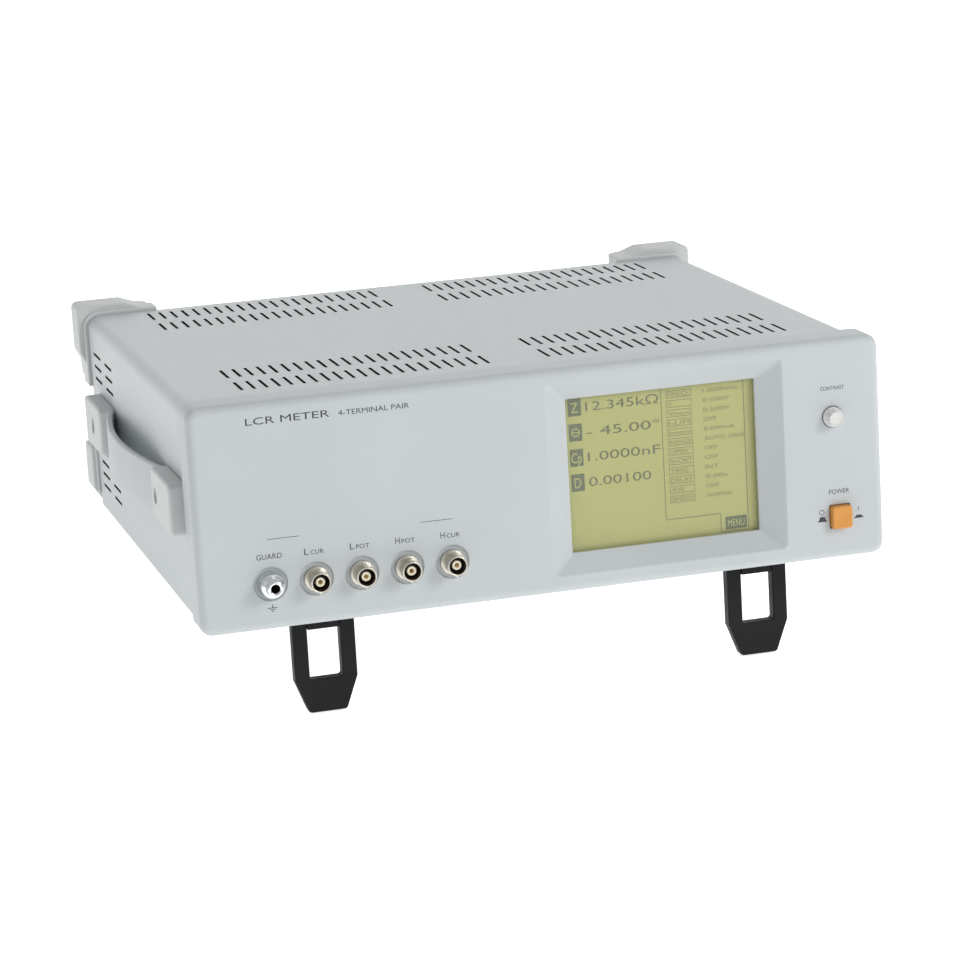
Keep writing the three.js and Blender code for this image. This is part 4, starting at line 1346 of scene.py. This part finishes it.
@dataclass
class MeasuringTerminals(Assembly):
    """Four bayonet sockets and the guard binding post in their wells."""

    z: float = 22.2
    places: tuple[tuple[str, float], ...] = (
        ("l_cur", -114.0), ("l_pot", -92.0), ("h_pot", -70.0), ("h_cur", -48.0),
    )
    guard_x: float = -136.0

    def shell(self, name: str, x: float) -> None:
        """Barrel with a rolled rim, washer, stepped collar and the two bayonet lugs."""
        skin = self.skin()
        profile = soft_profile([
            (2.45, -1.0), (4.05, -1.0), (4.05, -9.3), (4.3, -9.5), (4.8, -9.35), (4.8, -8.2), (4.62, -8.0),
            (4.62, -2.6), (5.0, -2.4), (5.0, -1.5), (5.7, -1.35), (6.0, -1.0), (6.0, 0.2), (5.8, 0.9),
            (4.6, 0.9), (4.6, 27.0), (2.45, 27.0),
        ], 0.16)
        skin.band(round_rings((x, self.z), [*profile, profile[0]], 48, Facing.FRONT))
        for way in (-1, 1):
            lug = soft_profile([(0.01, 5.75), (0.95, 5.75), (1.0, 4.4), (1.0, 4.2)], 0.2)
            a = np.arange(16) * 2 * math.pi / 16
            rings = [(x + r * np.cos(a), -6.6 + r * np.sin(a), np.full(16, self.z + way * h)) for r, h in lug]
            skin.loft(np.stack([np.stack(ring, axis=1) for ring in rings]))
        node = f"bnc_shell_{name}"
        piece = self.add(skin, f"socket_shell_{name}", Slot.NICKEL, replaces=[node], sharp_deg=38)
        # Painted shade on the faces inside the barrel's bore.
        self.paint_bore_shade(piece, x)

    def paint_bore_shade(self, piece: bpy.types.Object, x: float) -> None:
        """Paints shade inside the barrel: its inner faces take a dark material where the deep bore gets no
        light.
        """
        piece.data.materials.append(self.wardrobe.bore_shade)
        centre = self.axes.to_frame(np.array([[x, -5.0, self.z]]))[0]
        faces = piece.data.polygons
        middle = np.empty(len(faces) * 3)
        faces.foreach_get("center", middle)
        away = middle.reshape(-1, 3) - centre
        c, s = math.cos(self.axes.tilt), math.sin(self.axes.tilt)
        depth = away[:, 1] * c - away[:, 2] * s
        height = away[:, 1] * s + away[:, 2] * c
        radius = np.hypot(away[:, 0], height)
        dark = (radius < 4.12 * MM) & (np.abs(depth) < 4.3 * MM)
        faces.foreach_set("material_index", dark.astype(np.int32))

    def insulator(self, name: str, x: float) -> None:
        """The cream sleeve round the contact, with a dished front."""
        skin = self.skin()
        corners = [(1.0, -6.9), (1.15, -7.6), (2.1, -7.7), (2.3, -7.4), (2.3, 27.6), (1.0, 27.6)]
        profile = soft_profile(corners, 0.12)
        skin.band(round_rings((x, self.z), [*profile, profile[0]], 32, Facing.FRONT))
        self.add(skin, f"socket_sleeve_{name}", Slot.CREAM, replaces=[f"bnc_insulator_{name}"])

    def contact(self, name: str, x: float) -> None:
        """The brass contact: a pin whose front is hollowed in the middle."""
        skin = self.skin()
        corners = [(0, -6.2), (0.38, -6.2), (0.42, -7.5), (0.62, -7.6), (0.7, -7.4), (0.7, 30), (0, 30)]
        turned(skin, (x, self.z), soft_profile(corners, 0.08), 20)
        self.add(skin, f"socket_pin_{name}", Slot.BRASS, replaces=[f"bnc_contact_{name}"])

    def guard_post(self) -> None:
        """The bright binding post: flange, rounded collar, nose and its socket, with painted shade inside the
        socket's hole.
        """
        skin = self.skin()
        profile = soft_profile([
            (0.0, 14.0), (2.0, 14.0), (2.0, -10.2), (2.5, -10.8), (3.4, -10.8), (3.9, -10.2), (3.9, -7.0),
            (5.6, -5.6), (6.0, -4.6), (6.0, -1.5), (6.4, -0.8), (6.4, 0.9), (4.6, 0.9), (4.6, 26.0),
            (0.0, 26.0),
        ], 0.5)
        turned(skin, (self.guard_x, self.z), profile, 48)
        piece = self.add(skin, "guard_post", Slot.CHROME, replaces=["guard_terminal"], sharp_deg=38)
        # Painted shade: the faces inside the socket's hole take the dark bore material.
        piece.data.materials.append(self.wardrobe.bore_shade)
        faces = piece.data.polygons
        middle = np.empty(len(faces) * 3)
        faces.foreach_get("center", middle)
        axis = self.axes.to_frame(np.array([[self.guard_x, -10.0, self.z], [self.guard_x, 14.0, self.z]]))
        along = (axis[1] - axis[0]) / np.linalg.norm(axis[1] - axis[0])
        away = middle.reshape(-1, 3) - axis[0]
        radial = away - np.outer(away @ along, along)
        dark = (np.linalg.norm(radial, axis=1) < 2.05 * MM) & ((away @ along) < 24.2 * MM)
        faces.foreach_set("material_index", dark.astype(np.int32))

    def build(self) -> None:
        """All four sockets and the guard post."""
        for name, x in self.places:
            self.shell(name, x)
            self.insulator(name, x)
            self.contact(name, x)
        self.guard_post()


@dataclass
class FrontControls(Assembly):
    """The contrast knob and the latching power button."""

    knob: tuple[float, float] = (145.4, 70.9)
    knob_base: float = 4.9
    knob_face: float = 3.6
    knob_proud: float = 6.0
    flutes: int = 10
    button: tuple[float, float, float, float] = (142.6, 152.6, 15.7, 26.7)
    button_proud: float = 4.0

    def contrast_knob(self) -> None:
        """A fluted cone with a shallow dish in its face: the radius dips by 8 % ten times round."""
        skin = self.skin()
        base, top, proud = self.knob_base, self.knob_face, self.knob_proud
        profile = soft_profile([
            (0.0, -proud + 0.35), (top - 0.75, -proud + 0.35), (top - 0.55, -proud), (top, -proud),
            (base - 0.35, -1.9),
            (base, -1.6), (base, 0.8), (0.0, 0.8),
        ], 0.3)

        def flute(angle: np.ndarray, radius: float) -> np.ndarray:
            """Dips only where the radius is that of the cone."""
            depth = 0.08 if top - 0.3 < radius < base - 0.2 else 0.0
            return 1 - depth * (0.5 + 0.5 * np.cos(self.flutes * angle)) ** 2

        turned(skin, self.knob, profile, 144, flute)
        self.add(skin, "contrast_dial", Slot.KNOB, "contrast_knob", ["contrast_knob"], sharp_deg=40)

    def power_button(self) -> None:
        """A rounded key whose face dishes inwards: rings shrunk by k towards the middle sit 0.4 (1 - k^2)
        deep.
        """
        x0, x1, z0, z1 = self.button
        corners = rectangle(x0, x1, z0, z1)
        skin = self.skin()
        stations = edge_stations(-self.button_proud, 7.0, 0.7, 0.1, 5)
        rings = [rounded(inset(corners, d), max(1.1 - d, 0.3), 5) for _, d in stations]
        skin.band(np.stack([lifted(ring, y, Facing.FRONT) for ring, (y, _) in zip(rings, stations)]))
        middle = np.array([(x0 + x1) / 2, (z0 + z1) / 2])
        shares = np.linspace(1, 0.002, 7)
        dish = [
            lifted(middle + (rings[0] - middle) * k, -self.button_proud + 0.4 * (1 - k * k), Facing.FRONT)
            for k in shares
        ]
        skin.band(np.stack(dish))
        skin.cap(dish[-1])
        stem = rounded(rectangle(middle[0] - 2, middle[0] + 2, middle[1] - 2, middle[1] + 2), 0.4, 2)
        skin.cap(lifted(rings[-1], 7.0, Facing.FRONT))
        skin.loft(np.stack([lifted(stem, y, Facing.FRONT) for y in (6.8, 24.0)]))
        self.add(skin, "power_key", Slot.ORANGE, "power_button", ["power_button"], sharp_deg=40)

    def build(self) -> None:
        """Both controls."""
        self.contrast_knob()
        self.power_button()


class Align(Enum):
    """Where a text's place lies along its line."""

    LEFT = "LEFT"
    CENTRE = "CENTER"


@dataclass
class Marks(Assembly):
    """Flat shapes on one plane of the case, each turned into a thin raised layer."""

    level: float = 0.0
    thickness: float = 0.03
    vertices: list[np.ndarray] = field(default_factory=list)
    faces: list[tuple[int, ...]] = field(default_factory=list)
    count: int = 0

    def text(
        self, words: str, x: float, z: float, cap: float, align: Align = Align.LEFT,
        width: float | None = None, spacing: float = 1.0,
    ) -> float:
        """Adds lettering whose capitals are cap high, with its base line at z.

        Args:
            words: The text.
            x: Its left end or its middle.
            z: Its base line.
            cap: Height of the capitals.
            align: What x stands for.
            width: Width it is stretched to, or None for the letters' own.
            spacing: Spacing of the letters.

        Returns:
            The text's width.
        """
        curve = bpy.data.curves.new("lettering", "FONT")
        curve.body = words
        curve.size = 1.0
        curve.space_character = spacing
        curve.resolution_u = 3
        holder = bpy.data.objects.new("lettering", curve)
        bpy.context.scene.collection.objects.link(holder)
        bpy.context.view_layer.update()
        mesh = bpy.data.meshes.new_from_object(holder.evaluated_get(bpy.context.evaluated_depsgraph_get()))
        points = np.empty(len(mesh.vertices) * 3)
        mesh.vertices.foreach_get("co", points)
        points = points.reshape(-1, 3)[:, :2]
        polygons = [tuple(p.vertices) for p in mesh.polygons]
        bpy.data.objects.remove(holder)
        bpy.data.curves.remove(curve)
        bpy.data.meshes.remove(mesh)
        low, high = points[:, 0].min(), points[:, 0].max()
        letter_height = 0.729  # height of a capital in the built-in letters, for a size of 1
        scale = cap / letter_height
        stretch = width / (high - low) if width else scale
        wide = (high - low) * stretch
        start = x if align is Align.LEFT else x - wide / 2
        placed = np.stack([start + (points[:, 0] - low) * stretch, z + points[:, 1] * scale], axis=1)
        self.shape(placed, polygons)
        return wide

    def shape(self, flat: np.ndarray, polygons: Sequence[tuple[int, ...]]) -> None:
        """Adds flat faces given by points (n, 2) in x and z."""
        self.vertices.append(np.asarray(flat, float))
        self.faces.extend(tuple(int(v) + self.count for v in polygon) for polygon in polygons)
        self.count += len(flat)

    def bar(self, x0: float, x1: float, z0: float, z1: float) -> None:
        """Adds a filled rectangle."""
        self.shape(np.array(rectangle(x0, x1, z0, z1)), [(0, 1, 2, 3)])

    def outline(self, x0: float, x1: float, z0: float, z1: float, line: float) -> None:
        """Adds the four lines of a rectangle."""
        outer = np.array(rectangle(x0, x1, z0, z1))
        inner = np.array(rectangle(x0 + line, x1 - line, z0 + line, z1 - line))
        sides = [(k, (k + 1) % 4, 4 + (k + 1) % 4, 4 + k) for k in range(4)]
        self.shape(np.concatenate([outer, inner]), sides)

    def ring(self, x: float, z: float, radius: float, line: float, points: int = 28) -> None:
        """Adds a circle's line."""
        both = np.concatenate([circle(x, z, radius, points), circle(x, z, radius - line, points)])
        quads = [(k, (k + 1) % points, points + (k + 1) % points, points + k) for k in range(points)]
        self.shape(both, quads)

    def make(self, name: str, material: bpy.types.Material, slot: Slot) -> None:
        """Turns the gathered shapes into one piece with a front and a thin edge.

        Args:
            name: The piece's name.
            material: The ink.
            slot: The material slot under the ink; not used.
        """
        flat = np.concatenate(self.vertices)
        points = self.axes.to_frame(lifted(flat, self.level, Facing.FRONT))
        mesh = bpy.data.meshes.new(name)
        mesh.from_pydata(points.tolist(), [], self.faces)
        work = bmesh.new()
        work.from_mesh(mesh)
        bmesh.ops.remove_doubles(work, verts=work.verts, dist=2e-6)
        front = self.axes.to_frame(np.array([[0, -1.0, 0], [0, 0, 0]]))
        towards = Vector(front[0] - front[1]).normalized()
        turned_away = [f for f in work.faces if f.normal.dot(towards) < 0]
        bmesh.ops.reverse_faces(work, faces=turned_away)
        grown = bmesh.ops.extrude_face_region(work, geom=list(work.faces))
        raised = [g for g in grown["geom"] if isinstance(g, bmesh.types.BMVert)]
        bmesh.ops.translate(work, verts=raised, vec=towards * self.thickness * MM)
        bmesh.ops.recalc_face_normals(work, faces=work.faces)
        work.to_mesh(mesh)
        work.free()
        piece = bpy.data.objects.new(name, mesh)
        bpy.context.scene.collection.objects.link(piece)
        mesh.materials.append(material)
        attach(piece, "case")
        log.info("%s: %d faces", name, len(mesh.polygons))


@dataclass
class PanelPrinting(Assembly):
    """The dark grey lettering and symbols on the front."""

    lettering: tuple[tuple[str, float, float, float, Align, float], ...] = (
        ("LCR METER", -142.7, 98.6, 3.5, Align.LEFT, 40.0),
        ("4-TERMINAL PAIR", -98.5, 98.6, 2.6, Align.LEFT, 34.0),
        ("GUARD", -136.0, 34.3, 2.7, Align.CENTRE, 12.2),
        ("CONTRAST", 145.7, 84.1, 2.0, Align.CENTRE, 12.3),
        ("POWER", 147.5, 32.5, 2.4, Align.CENTRE, 10.5),
    )
    terminals: tuple[tuple[float, str, str], ...] = (
        (-114.0, "L", "CUR"), (-92.0, "L", "POT"), (-70.0, "H", "POT"), (-48.0, "H", "CUR"),
    )
    rules: tuple[tuple[float, float, float, float], ...] = (
        (-136.2, -121.1, 43.6, 43.85), (-62.4, -46.9, 43.0, 43.25),
    )
    earth: tuple[float, float, float] = (-136.0, 9.3, 4.6)
    off_ring: tuple[float, float, float, float] = (138.2, 23.9, 1.35, 0.3)
    on_bar: tuple[float, float, float, float] = (157.0, 157.3, 22.7, 24.9)
    keys: tuple[tuple[float, float, float], ...] = ((138.4, 19.2, 2.0), (157.3, 19.2, 1.0))

    def earth_symbol(self, marks: Marks, x: float, z: float, width: float) -> None:
        """A stem on three shortening bars."""
        marks.bar(x - 0.17, x + 0.17, z + 1.5, z + 3.2)
        for step, share in enumerate((1.0, 0.58, 0.2)):
            level = z + 1.5 - 0.85 * step
            marks.bar(x - width / 2 * share, x + width / 2 * share, level - 0.17, level + 0.17)

    def key_symbol(self, marks: Marks, x: float, z: float, raised: float) -> None:
        """A key in its frame seen from the side, standing out or pressed in."""
        marks.bar(x - 2.4, x + 2.4, z, z + 0.55)
        foot, top = z + 0.5, z + 0.5 + raised
        outline = [(x - 1.9, foot), (x + 1.9, foot), (x + 1.2, top), (x - 1.2, top)]
        marks.shape(np.array(outline), [(0, 1, 2, 3)])

    def build(self) -> None:
        """Title, terminal names, rules, knob and switch names."""
        marks = Marks(self.axes, self.wardrobe)
        for words, x, z, cap, align, width in self.lettering:
            marks.text(words, x, z, cap, align, width)
        for x, big, small in self.terminals:
            marks.text(big, x - 5.2, 34.2, 3.1, width=2.1)
            marks.text(small, x - 2.2, 34.2, 2.2, width=6.4)
        for rule in self.rules:
            marks.bar(*rule)
        self.earth_symbol(marks, *self.earth)
        marks.ring(*self.off_ring)
        marks.bar(*self.on_bar)
        for x, z, raised in self.keys:
            self.key_symbol(marks, x, z, raised)
        marks.make("panel_printing", self.wardrobe.print_ink, Slot.CASE)


@dataclass
class DisplayPicture(Assembly):
    """What the display shows: four readings at the left and a framed list of settings at the right."""

    screen: tuple[float, float, float, float] = (13.5, 108.6, 17.2, 92.5)
    glass: float = 10.9
    readings: tuple[tuple[str, str], ...] = (
        ("Z", "12.345kΩ"), ("θ", "- 45.00°"), ("Cp", "1.0000nF"), ("D", "0.00100"),
    )
    settings: tuple[tuple[str, str], ...] = (
        ("FREQ.", "1.000kHz"), ("V", "0.500V"), ("Vmoni", "0.500V"), ("I-LIM", "OFF"), ("Imoni", "0.040mA"),
        ("RANGE", "AUTO 10kΩ"), ("OPEN", "OFF"), ("SHORT", "OFF"), ("TRIG", "INT"), ("DELAY", "0.00s"),
        ("AVE", "OFF"), ("SPEED", "NORMAL"),
    )
    label: tuple[float, float, float, float] = (0.022, 0.092, 0.012, 0.125)
    menu_key: tuple[float, float, float, float] = (0.83, 0.945, 0.897, 0.982)
    name_box: tuple[float, float, float, float] = (0.54, 0.675, 0.03, 0.078)
    reading_left: float = 0.115
    reading_base: float = 0.1
    reading_ends: tuple[float, ...] = (0.5, 0.5, 0.5, 0.445)
    reading_pitch: float = 0.163
    setting_left: float = 0.735
    setting_pitch: float = 0.0625

    def at(self, u: float, v: float) -> tuple[float, float]:
        """Case x and z of a place on the screen, u from the left and v from the top, both 0 to 1."""
        x0, x1, z0, z1 = self.screen
        return x0 + u * (x1 - x0), z1 - v * (z1 - z0)

    def area(
        self, shares: tuple[float, float, float, float], down: float = 0.0
    ) -> tuple[float, float, float, float]:
        """An area of the screen in the case's axes.

        Args:
            shares: Its left, right, top and foot as shares of the screen.
            down: How far it is moved down, as a share of the screen's height.

        Returns:
            Its bounds as (x0, x1, z0, z1).
        """
        left, right, top, foot = shares
        x0, z1 = self.at(left, top + down)
        x1, z0 = self.at(right, foot + down)
        return x0, x1, z0, z1

    def layer(self, lift: float = 0.01, thickness: float = 0.04) -> Marks:
        """An empty layer of marks just in front of the glass."""
        return Marks(self.axes, self.wardrobe, self.glass - lift, thickness)

    def blocks(self) -> list[tuple[float, float, float, float]]:
        """The dark label blocks as (x0, x1, z0, z1): one beside each reading, and the menu key."""
        labels = [self.area(self.label, self.reading_pitch * k) for k in range(len(self.readings))]
        return [*labels, self.area(self.menu_key)]

    def build(self) -> None:
        """Blocks with light letters, big readings, the frame and the list."""
        blocks, light = self.layer(), self.layer(0.07, 0.03)
        for (x0, x1, z0, z1), words in zip(self.blocks(), [label for label, _ in self.readings] + ["MENU"]):
            blocks.bar(x0, x1, z0, z1)
            height = (z1 - z0) * (0.62 if words != "MENU" else 0.58)
            wide = (x1 - x0) * (0.5 if len(words) == 1 else 0.78)
            x, z = (x0 + x1) / 2, (z0 + z1) / 2
            if words == "θ":
                light.ring(x, z, height * 0.4, 0.5)
                light.bar(x - height * 0.4, x + height * 0.4, z - 0.22, z + 0.22)
            else:
                light.text(words, x, z - height / 2, height, Align.CENTRE, width=wide)
        blocks.make("display_blocks", self.wardrobe.label_block, Slot.LCD)
        light.make("display_block_letters", self.wardrobe.by_slot[Slot.LCD], Slot.LCD)
        dark = self.layer()
        for k, ((_, value), end) in enumerate(zip(self.readings, self.reading_ends)):
            x, z = self.at(self.reading_left, self.reading_base + self.reading_pitch * k)
            width = (end - self.reading_left) * (self.screen[1] - self.screen[0])
            dark.text(value, x, z, 4.6, width=width)
        self.frame_lines(dark)
        dark.make("display_readings", self.wardrobe.segment, Slot.LCD)
        faint = self.layer()
        for k, (label, value) in enumerate(self.settings):
            x0, x1, z0, z1 = self.area(self.name_box, self.setting_pitch * k)
            faint.outline(x0, x1, z0, z1, 0.3)
            faint.text(label, x0 + 0.9, z0 + 0.75, 2.1, width=(x1 - x0 - 1.8) * len(label) / 5)
            x, _ = self.at(self.setting_left, 0)
            faint.text(value, x, z0 + 0.95, 2.1, width=2.25 * len(value))
        faint.make("display_settings", self.wardrobe.faint_segment, Slot.LCD)

    def frame_lines(self, dark: Marks) -> None:
        """The line round the list: down the left, a step at the foot, and up the right."""
        left, step, right, line = 0.512, 0.808, 0.955, 0.35
        (xl, top), (xs, low), (xr, foot) = self.at(left, 0.004), self.at(step, 0.868), self.at(right, 0.992)
        dark.bar(xl, xl + line, low, top)
        dark.bar(xl, xs, low - line, low)
        dark.bar(xs - line, xs, foot, low)
        dark.bar(xs - line, xr, foot - line, foot)
        dark.bar(xr - line, xr, foot, top)
        dark.bar(xl, xr, top - line, top)


@dataclass
class RearFittings(Assembly):
    """Rear panel fittings: the knurled earth post and the fixings that the plain frame nodes lack."""

    serial: tuple[float, float] = (-20.0, 72.0)
    handler: tuple[float, float] = (-95.0, 72.0)
    earth: tuple[float, float] = (92.0, 34.0)
    option: tuple[float, float] = (-58.0, 34.0)

    def earth_post(self) -> None:
        """A knurled thumb nut on its post: the radius ripples 24 times round the nut."""
        skin = self.skin()
        profile = soft_profile([
            (0.0, 278.0), (3.0, 278.0), (3.0, 286.7), (6.5, 286.7), (6.5, 288.5), (3.0, 288.5), (3.0, 291.0),
            (4.7, 291.0),
            (5.0, 291.4), (5.0, 296.6), (4.6, 297.0), (0.0, 297.0),
        ], 0.25)

        def knurl(angle: np.ndarray, radius: float) -> np.ndarray:
            """Ripples only at the nut's radius."""
            depth = 0.06 if 4.85 < radius < 5.2 else 0.0
            return 1 - depth * np.abs(np.sin(12 * angle))

        turned(skin, self.earth, profile, 96, knurl)
        self.add(skin, "earth_post", Slot.NICKEL, replaces=["rear_earth_terminal"], sharp_deg=38)

    def panel_screws(self) -> None:
        """Small screws beside the connectors and at the option plate's corners."""
        spots = [(self.serial[0] + dx, self.serial[1]) for dx in (-12.5, 12.5)]
        spots += [(self.handler[0] + dx, self.handler[1]) for dx in (-28.5, 28.5)]
        spots += [(self.option[0] + dx, self.option[1]) for dx in (-49.5, 49.5)]
        for k, (x, z) in enumerate(spots):
            CrossScrew(
                self.axes, self.wardrobe, f"panel_screw_{k + 1}", (), (x, z), 288.9 if k < 4 else 289.0, -1,
                Facing.FRONT, radius=2.3, height=1.1, arm=0.35, reach=1.2,
            ).build()

    def guard_screws(self) -> None:
        """The four screws that hold the corner guards."""
        for side, sign in (("left", -1), ("right", 1)):
            for level, z in (("lower", 15.0), ("upper", 94.8)):
                corner = f"{level}_{side}"
                CrossScrew(
                    self.axes, self.wardrobe, f"guard_screw_{corner}", [f"rear_guard_screw_{corner}"],
                    (sign * 160.0, z), 300.0, -1, Facing.FRONT, radius=3.7, height=2.4,
                ).build()

    def build(self) -> None:
        """Earth post and all screws."""
        self.earth_post()
        self.panel_screws()
        self.guard_screws()


@dataclass
class CarriedNodes(Assembly):
    """Frame nodes whose shape is kept: each gets the finish of what it is made of."""

    finishes: tuple[tuple[Slot, tuple[str, ...]], ...] = (
        (Slot.CASE, ("front_bezel", "handle_strap")),
        (Slot.PAINT, ("top_cover", "bottom_cover", "rear_panel", "option_slot_plate")),
        (Slot.GUARD, ("rear_guard_", "handle_cap_")),
        (Slot.BLACK, ("leg_", "power_switch", "mains_inlet", "fuse_drawer")),
        (Slot.ORANGE, ("power_button",)),
        (Slot.KNOB, ("contrast_knob",)),
        (Slot.NICKEL, ("bnc_shell_", "guard_terminal_nut", "rear_earth_terminal")),
        (Slot.CHROME, ("guard_terminal",)),
        (Slot.BRASS, ("bnc_contact_",)),
        (Slot.CREAM, ("bnc_insulator_",)),
        (Slot.WINDOW, ("display_window",)),
        (Slot.LCD, ("lcd_panel",)),
        (Slot.BOARD, ("display_board", "backlight_inverter", "main_board", "power_supply_board")),
        (Slot.CORE, ("power_transformer",)),
        (Slot.ZINC, (
            "sub_panel", "contrast_pot", "chassis_rail_", "serial_connector", "handler_connector",
            "measurement_shield",
            "handle_screw_", "rear_guard_screw_", "leg_pin_",
        )),
    )

    def build(self) -> None:
        """Gives every node the finish whose name beginning fits it longest."""
        for name, node in frame["nodes"].items():
            fits = [
                (len(start), slot)
                for slot, starts in self.finishes for start in starts if name.startswith(start)
            ]
            slot = max(fits, key=lambda fit: fit[0])[1]
            node.data.materials.clear()
            node.data.materials.append(self.wardrobe.by_slot[slot])


# ---------------------------------------------------------------- studio


@dataclass
class Studio:
    """Floor, lights and camera; the camera's angles and stand are given in the case's axes."""

    axes: CaseAxes
    floor_material: bpy.types.Material
    azimuth: float = -14.847
    elevation: float = 12.923
    roll: float = -3.334
    lens: float = 133.324
    sensor: float = 36.0
    stand: tuple[float, float, float] = (-451.01, -1579.36, 435.035)

    def floor(self) -> None:
        """A wide pale sheet that curves up behind: height rises as a quarter circle past y = 3 m."""
        u = np.linspace(-6, 6, 25)
        t = np.linspace(0, 1, 49)
        run = -6 + t * 12
        angle = np.clip((run - 3.0) / 1.5, 0, math.pi / 2)
        y = np.minimum(run, 3.0) + 1.5 * np.sin(angle)
        z = 1.5 * (1 - np.cos(angle)) + np.maximum(run - 3.0 - 1.5 * math.pi / 2, 0)
        points = np.stack(np.broadcast_arrays(u[:, None], y[None, :], z[None, :]), axis=-1).reshape(-1, 3)
        i, j = np.meshgrid(np.arange(24), np.arange(48), indexing="ij")
        n = 49
        here, beside = i * n + j, (i + 1) * n + j
        quads = np.stack([here, beside, beside + 1, here + 1], axis=-1).reshape(-1, 4)
        mesh = bpy.data.meshes.new("studio_sweep")
        mesh.from_pydata(points.tolist(), [], quads.tolist())
        mesh.polygons.foreach_set("use_smooth", np.ones(len(mesh.polygons), bool))
        mesh.materials.append(self.floor_material)
        sweep = bpy.data.objects.new("studio_sweep", mesh)
        bpy.context.scene.collection.objects.link(sweep)

    def light(self, name: str, place: tuple[float, float, float], size: float, watts: float) -> None:
        """A square soft light that points at the meter."""
        lamp = bpy.data.lights.new(name, "AREA")
        lamp.shape = "SQUARE"
        lamp.size = size
        lamp.energy = watts
        holder = bpy.data.objects.new(name, lamp)
        holder.location = place
        aim = Vector((0, 0, 0.08)) - Vector(place)
        holder.rotation_euler = aim.to_track_quat("-Z", "Y").to_euler()
        bpy.context.scene.collection.objects.link(holder)

    def world(self) -> None:
        """An even white surround."""
        world = bpy.data.worlds.new("studio")
        world.use_nodes = True
        background = world.node_tree.nodes["Background"]
        background.inputs["Color"].default_value = (1.0, 1.0, 1.0, 1)
        background.inputs["Strength"].default_value = 0.5
        bpy.context.scene.world = world

    def camera(self) -> None:
        """The camera: looks along its azimuth and elevation and is rolled about that line."""
        az, el = math.radians(self.azimuth), math.radians(self.elevation)
        back = np.array([math.sin(az) * math.cos(el), -math.cos(az) * math.cos(el), math.sin(el)])
        right = np.array([math.cos(az), math.sin(az), 0.0])
        up = np.cross(back, right)
        c, s = math.cos(math.radians(self.roll)), math.sin(math.radians(self.roll))
        looks = np.stack([c * right + s * up, c * up - s * right, back])
        right, up, back = (self.axes.to_frame(looks / MM) - np.array(self.axes.origin)).tolist()
        lens = bpy.data.cameras.new("camera")
        lens.sensor_width = self.sensor
        lens.lens = self.lens
        lens.clip_end = 50
        holder = bpy.data.objects.new("camera", lens)
        basis = Matrix((right, up, back)).transposed().to_4x4()
        place = self.axes.to_frame(np.array([self.stand]))[0]
        holder.matrix_world = Matrix.Translation(place) @ basis
        bpy.context.scene.collection.objects.link(holder)
        bpy.context.scene.camera = holder

    def build(self) -> None:
        """Everything around the meter."""
        self.floor()
        self.world()
        self.light("key", (2.1, -2.0, 1.9), 1.4, 52)
        self.light("fill", (-2.2, -1.8, 1.2), 2.4, 3)
        self.light("top", (0.6, 0.4, 2.8), 2.2, 8)
        self.camera()
        bpy.context.scene.view_settings.view_transform = "Standard"


def main() -> None:
    """Builds the meter's looks piece by piece, then the studio."""
    logging.basicConfig(level=logging.INFO, format="%(name)s %(message)s")
    record = frame["record"]
    axes = CaseAxes.from_record(record, (2.75, 29.0, -3.0))
    wardrobe = Wardrobe(axes)
    CarriedNodes(axes, wardrobe).build()
    FrontBezel(axes, wardrobe).build()
    FoldedCover(axes, wardrobe).build()
    for level in ("lower", "upper"):
        for side in (-1, 1):
            CornerGuard(axes, wardrobe, level, side).build()
    StrapHandle(axes, wardrobe).build()
    for side, x in (("left", -107.0), ("right", 112.5)):
        FoldingLeg(axes, wardrobe, side, x).build()
    MeasuringTerminals(axes, wardrobe).build()
    FrontControls(axes, wardrobe).build()
    PanelPrinting(axes, wardrobe).build()
    DisplayPicture(axes, wardrobe).build()
    RearFittings(axes, wardrobe).build()
    Studio(axes, wardrobe.floor).build()


if __name__ == "__main__":
    main()
